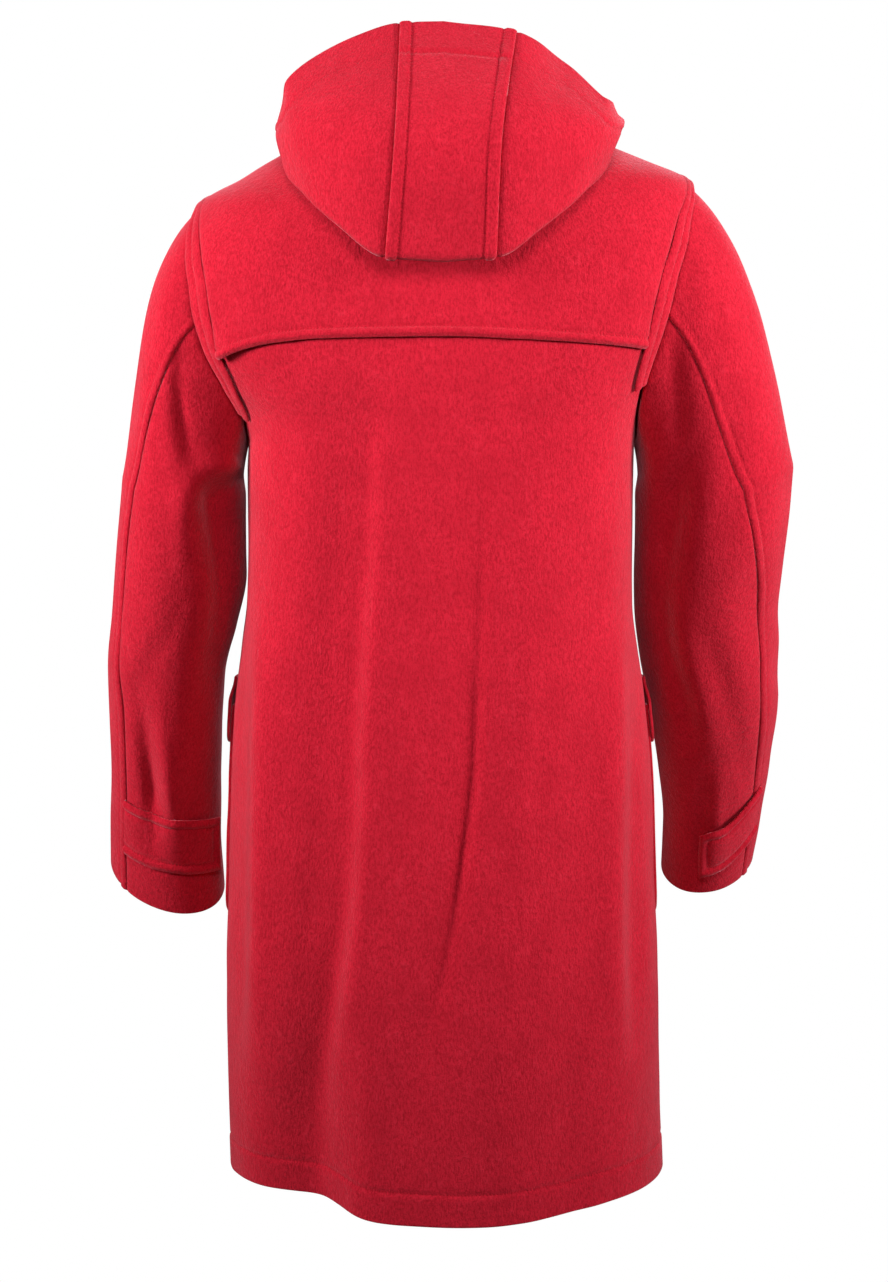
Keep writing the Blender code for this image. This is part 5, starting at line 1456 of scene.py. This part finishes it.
# ---------------------------------------------------------------- toggles and their cords
def small_patch(name, node, side, x0, z):
    """Cloth patch that holds a cord, stitched round its edge and crosswise."""
    xs = x0 + side * np.linspace(0, PATCH_LONG, 5)
    coarse = []
    for share in np.linspace(1, -1, 5):
        row = []
        for x in xs:
            f = (x - x0) / (side * PATCH_LONG)
            tall = 0.5 * PATCH_TALL * (1.0 - 0.12 * f * f)
            p, n = front_at(x, z + share * tall)
            row.append(np.concatenate([p, n]))
        coarse.append(row)
    edge = ((0.0, 0.0009), (PATCH_BORDER, 0.0009), (-PATCH_BORDER, 0.0009), (END, 0.0009))
    grid = finer(np.array(coarse), lambda g: g[..., :3], 0.0016, edge, 0.0016, edge)
    normals = unit(grid[..., 3:])
    low = grid[..., :3] + normals * LAY
    cloth = Cloth(low + normals * PATCH_CLOTH, normals)
    away = np.minimum(np.minimum(cloth.top, cloth.bottom), np.minimum(cloth.start, cloth.end))
    cloth.rise += 0.0003 * smooth((0.004 - away) / 0.002)
    cloth.stitch(away - PATCH_BORDER, cloth.start + cloth.top, 0.0004, 0.0012)
    wide = cloth.start[:, -1:] - 2 * PATCH_BORDER
    tall = cloth.top[-1:] - 2 * PATCH_BORDER
    across = (cloth.start - PATCH_BORDER) / wide
    down = (cloth.top - PATCH_BORDER) / tall
    inside = smooth((away - 0.0030) / 0.001)
    for turn in (down, 1 - down):
        cloth.stitch((across - turn) * 0.019, cloth.start, 0.0004, 0.0011, inside)
    shell(name, [cloth], [node], lows=[low])


def smooth_path(points, gap):
    """The path's points on one smooth curve, evenly spaced."""
    points = np.asarray(points, float)
    keys = run_along(points)
    at = np.linspace(0, keys[-1], int(keys[-1] / gap) + 2)
    return np.array([catmull(keys, points, x) for x in at]), at


CORD_STEP = 0.0007      # between two rings of a cord
CORD_SIDES = 18
WRAP_SIDES = 14
TOGGLE_SIDES = 40
STRANDS = 3
TWIST_PITCH = 0.0095


def tube_faces(rings, sides):
    """Faces of a tube of rings with a flat cap at each end."""
    index = np.arange(rings * sides).reshape(rings, sides)
    nxt = np.roll(index, -1, axis=1)
    faces = np.stack([index[:-1], nxt[:-1], nxt[1:], index[1:]], -1).reshape(-1, 4).tolist()
    return faces + [index[0, ::-1].tolist(), index[-1].tolist()]


def cord_mesh(path, run, radius):
    """Points and faces of a twisted cord: strands show as a spiral of shallow ridges."""
    tangent = unit(np.gradient(path, axis=0))
    a = np.array([0.0, 0.0, 1.0]) if abs(tangent[0, 2]) < 0.9 else np.array([0.0, 1.0, 0.0])
    points = []
    for p, d, s in zip(path, tangent, run):
        a = unit(a - d * np.dot(a, d))
        b = np.cross(d, a)
        w = np.linspace(0, 2 * math.pi, CORD_SIDES + 1)[:-1]
        ridge = np.abs(np.cos(0.5 * STRANDS * (w + 2 * math.pi * s / (STRANDS * TWIST_PITCH / 2))))
        r = radius * (0.80 + 0.20 * ridge ** 0.7)
        points.append(p + (np.cos(w)[:, None] * a + np.sin(w)[:, None] * b) * r[:, None])
    return np.concatenate(points), tube_faces(len(path), CORD_SIDES)


def plain_mesh(name, points, faces, colour, node):
    mesh = bpy.data.meshes.new(name)
    mesh.from_pydata(points.tolist(), [], faces)
    mesh.validate()
    mesh.shade_smooth()
    mesh.materials.append(colour)
    finish_piece(placed(name, mesh), [node])


SPINDLE_COLUMNS = ("place", "radius")
SPINDLE = ((-1.0, 0.20), (-0.985, 0.34), (-0.94, 0.50), (-0.82, 0.70), (-0.6, 0.88), (-0.3, 0.975),
           (0.0, 1.0), (0.3, 0.975), (0.6, 0.88), (0.82, 0.70), (0.94, 0.50), (0.985, 0.34),
           (1.0, 0.20))
WAIST_DEPTH = 0.15      # of the toggle, as a share of its radius
WAIST_HALF = 0.0034
WRAP = 0.0017           # radius of the cord where it goes round the toggle


def toggle_set(number, z):
    low = LAY + CORD + 0.0002
    high = low + 2 * CORD + LAY
    centre = lifted(TOGGLE_X, z, high + CORD + LAY + TOGGLE_THICK)
    # turned toggle with a waist for its cord
    at = np.linspace(-1, 1, 73)
    x = at * TOGGLE_LONG / 2
    waist = WAIST_DEPTH * np.exp(-(x / WAIST_HALF) ** 4)
    r = TOGGLE_THICK * (column(SPINDLE, SPINDLE_COLUMNS, "radius", at) - waist)
    w = np.linspace(0, 2 * math.pi, TOGGLE_SIDES + 1)[:-1]
    rings = np.stack([np.repeat(x[:, None], TOGGLE_SIDES, 1), r[:, None] * np.cos(w)[None],
                      r[:, None] * np.sin(w)[None]], -1)
    faces = [face[::-1] for face in tube_faces(len(at), TOGGLE_SIDES)]
    plain_mesh("toggle_wood_%d" % number, centre + rings.reshape(-1, 3), faces, BEECH,
               "toggle_%d" % number)
    # loop from the left patch round the toggle's cord
    bend_x = LOOP_BEND_X + LOOP_HALF
    upper, lower = ([lifted(LEFT_PATCH_X - SEAM + (bend_x - LEFT_PATCH_X) * f, z + up * LOOP_HALF,
                            low + (high - low) * smooth(f * 1.2))
                     for f in np.linspace(*ends, 4)] for up, ends in ((1, (0, 1)), (-1, (1, 0))))
    turned = [lifted(bend_x - LOOP_HALF * math.sin(turn), z + LOOP_HALF * math.cos(turn), high)
              for turn in np.linspace(0, math.pi, 9)]
    path, run = smooth_path(upper[:-1] + turned + lower[1:], CORD_STEP)
    points, faces = cord_mesh(path, run, CORD)
    plain_mesh("loop_rope_%d" % number, points, faces, TWIST, "loop_cord_%d" % number)
    # the toggle's own cord, and its two turns round the toggle's waist
    turn = 0.0046
    path = [lifted(x, z, low) for x in np.linspace(RIGHT_PATCH_X + SEAM, TOGGLE_X - turn, 4)[:-1]]
    for w in np.linspace(0, math.pi / 2, 5):
        path.append(lifted(TOGGLE_X - turn + turn * math.sin(w), z,
                           low + turn * (1 - math.cos(w))))
    path.append(lifted(TOGGLE_X, z, high + CORD + LAY - SEAM))
    path, run = smooth_path(path, CORD_STEP)
    points, faces = cord_mesh(path, run, CORD)
    waist = TOGGLE_THICK * 0.85 + WRAP * 0.75
    for shift in (-WRAP, WRAP):
        w = np.linspace(0, 2 * math.pi, 57)[:-1]
        ring = centre + np.stack([shift + 0 * w, waist * np.cos(w), waist * np.sin(w)], -1)
        more, quads = ring_mesh(ring, w * waist, WRAP, len(points))
        points = np.concatenate([points, more])
        faces += quads
    plain_mesh("toggle_rope_%d" % number, points, faces, TWIST, "toggle_cord_%d" % number)
    for side, x0 in ((1, LEFT_PATCH_X), (-1, RIGHT_PATCH_X)):
        which = HAND[side]
        small_patch("patch_%s_%d_cloth" % (which, number),
                    "toggle_patch_%s_%d" % (which, number), side, x0, z)


def ring_mesh(ring, run, radius, start):
    """Closed ring of twisted cord."""
    ahead = unit(np.roll(ring, -1, axis=0) - np.roll(ring, 1, axis=0))
    a = np.array([1.0, 0.0, 0.0])
    w = np.linspace(0, 2 * math.pi, WRAP_SIDES + 1)[:-1]
    b = np.cross(ahead, a)
    turns = round(run[-1] / (TWIST_PITCH / 2)) or 1
    phase = 2 * math.pi * turns * np.arange(len(ring)) / len(ring)
    ridge = np.abs(np.cos(0.5 * STRANDS * w[None] + phase[:, None]))
    r = radius * (0.82 + 0.18 * ridge)
    ray = np.cos(w)[None, :, None] * a + np.sin(w)[None, :, None] * b[:, None]
    points = ring[:, None] + ray * r[..., None]
    index = np.arange(len(ring) * WRAP_SIDES).reshape(len(ring), WRAP_SIDES) + start
    below = np.roll(index, -1, axis=0)
    faces = np.stack([index, np.roll(index, -1, axis=1), np.roll(below, -1, axis=1), below], -1)
    return points.reshape(-1, 3), faces.reshape(-1, 4).tolist()


# ---------------------------------------------------------------- making the coat
back_piece()
for SIDE in (1, -1):
    front_piece(SIDE)
    band_piece(SIDE)
    sleeve_piece(SIDE, True)
    sleeve_piece(SIDE, False)
    pocket_pieces(SIDE)
    tab_piece(SIDE)
yoke_piece()
hood_pieces()
for number, height in enumerate(TOGGLE_HEIGHTS, 1):
    toggle_set(number, height)


# ---------------------------------------------------------------- camera, floor and light
def area_light(name, place, aim, size, power, spread):
    data = bpy.data.lights.new(name, "AREA")
    data.shape = "DISK"
    data.size = size
    data.energy = power
    data.spread = math.radians(spread)
    lamp = placed(name, data)
    lamp.location = place
    lamp.rotation_euler = (Vector(aim) - Vector(place)).to_track_quat("-Z", "Y").to_euler()


LENS = 72.0
CAMERA_PLACE = (0.0, 2.5, -0.175)
CAMERA_DOWN = 7.576     # degrees below the level
FLOOR_Z = -1.42
FLOOR_HALF = 40.0
FLOOR_GREYS = ((0.36, 0.36, 0.36, 1.0), (0.40, 0.40, 0.40, 1.0))
WHITE = (1.0, 1.0, 1.0, 1.0)
SKY_SEEN = 1.0          # strength of the world as the camera sees it
SKY_LIGHT = 0.08        # and as light on the coat
# name, place, aim, size, power, spread in degrees
LIGHTS = (
    ("key_left", (2.2, 0.85, 0.25), (0.15, 0.0, -0.18), 0.8, 17.5, 76.0),
    ("key_right", (-2.2, 0.85, 0.25), (-0.15, 0.0, -0.18), 0.8, 17.5, 76.0),
    ("above", (0.0, 2.20, 0.70), (0.0, 0.0, 0.08), 0.8, 5.0, 70.0),
    ("front", (-0.7, -2.4, 1.3), (0.0, 0.0, -0.5), 1.6, 60.0, 180.0),
)

camera_data = bpy.data.cameras.new("camera")
camera_data.lens = LENS
camera = placed("camera", camera_data)
camera.location = CAMERA_PLACE
camera.rotation_euler = (math.radians(90.0 - CAMERA_DOWN), 0.0, math.pi)
bpy.context.scene.camera = camera

# a floor that casts soft light upward but looks white to the camera
floor_mesh = bpy.data.meshes.new("floor")
corners = ((-1, -1), (1, -1), (1, 1), (-1, 1))
floor_mesh.from_pydata([(x * FLOOR_HALF, y * FLOOR_HALF, FLOOR_Z) for x, y in corners], [],
                       [(0, 1, 2, 3)])
floor = placed("floor", floor_mesh)
paper = Nodes("paper")
paper.feed(paper.shader.inputs["Base Color"], paper.mix(paper.noise(9.0, 2.0), *FLOOR_GREYS))
paper.settle(Roughness=0.95, Specular_IOR_Level=0.0)
lit = paper.add("ShaderNodeEmission")
lit.inputs["Strength"].default_value = 1.0
look = paper.add("ShaderNodeMixShader")
paper.feed(look.inputs["Fac"], paper.add("ShaderNodeLightPath").outputs["Is Camera Ray"])
paper.feed(look.inputs[1], paper.shader.outputs[0])
paper.feed(look.inputs[2], lit.outputs[0])
paper.feed(paper.tree.nodes["Material Output"].inputs["Surface"], look.outputs[0])
floor_mesh.materials.append(paper.material)

world = bpy.data.worlds.new("studio")
bpy.context.scene.world = world
world.use_nodes = True
sky = world.node_tree
sky.nodes.clear()
blend = sky.nodes.new("ShaderNodeMixShader")
for socket, strength in ((2, SKY_SEEN), (1, SKY_LIGHT)):
    glow = sky.nodes.new("ShaderNodeBackground")
    glow.inputs["Color"].default_value = WHITE
    glow.inputs["Strength"].default_value = strength
    sky.links.new(glow.outputs[0], blend.inputs[socket])
path_kind = sky.nodes.new("ShaderNodeLightPath")
sky.links.new(path_kind.outputs["Is Camera Ray"], blend.inputs["Fac"])
sky.links.new(blend.outputs[0], sky.nodes.new("ShaderNodeOutputWorld").inputs["Surface"])

for light in LIGHTS:
    area_light(*light)
bpy.context.scene.view_settings.view_transform = "Standard"
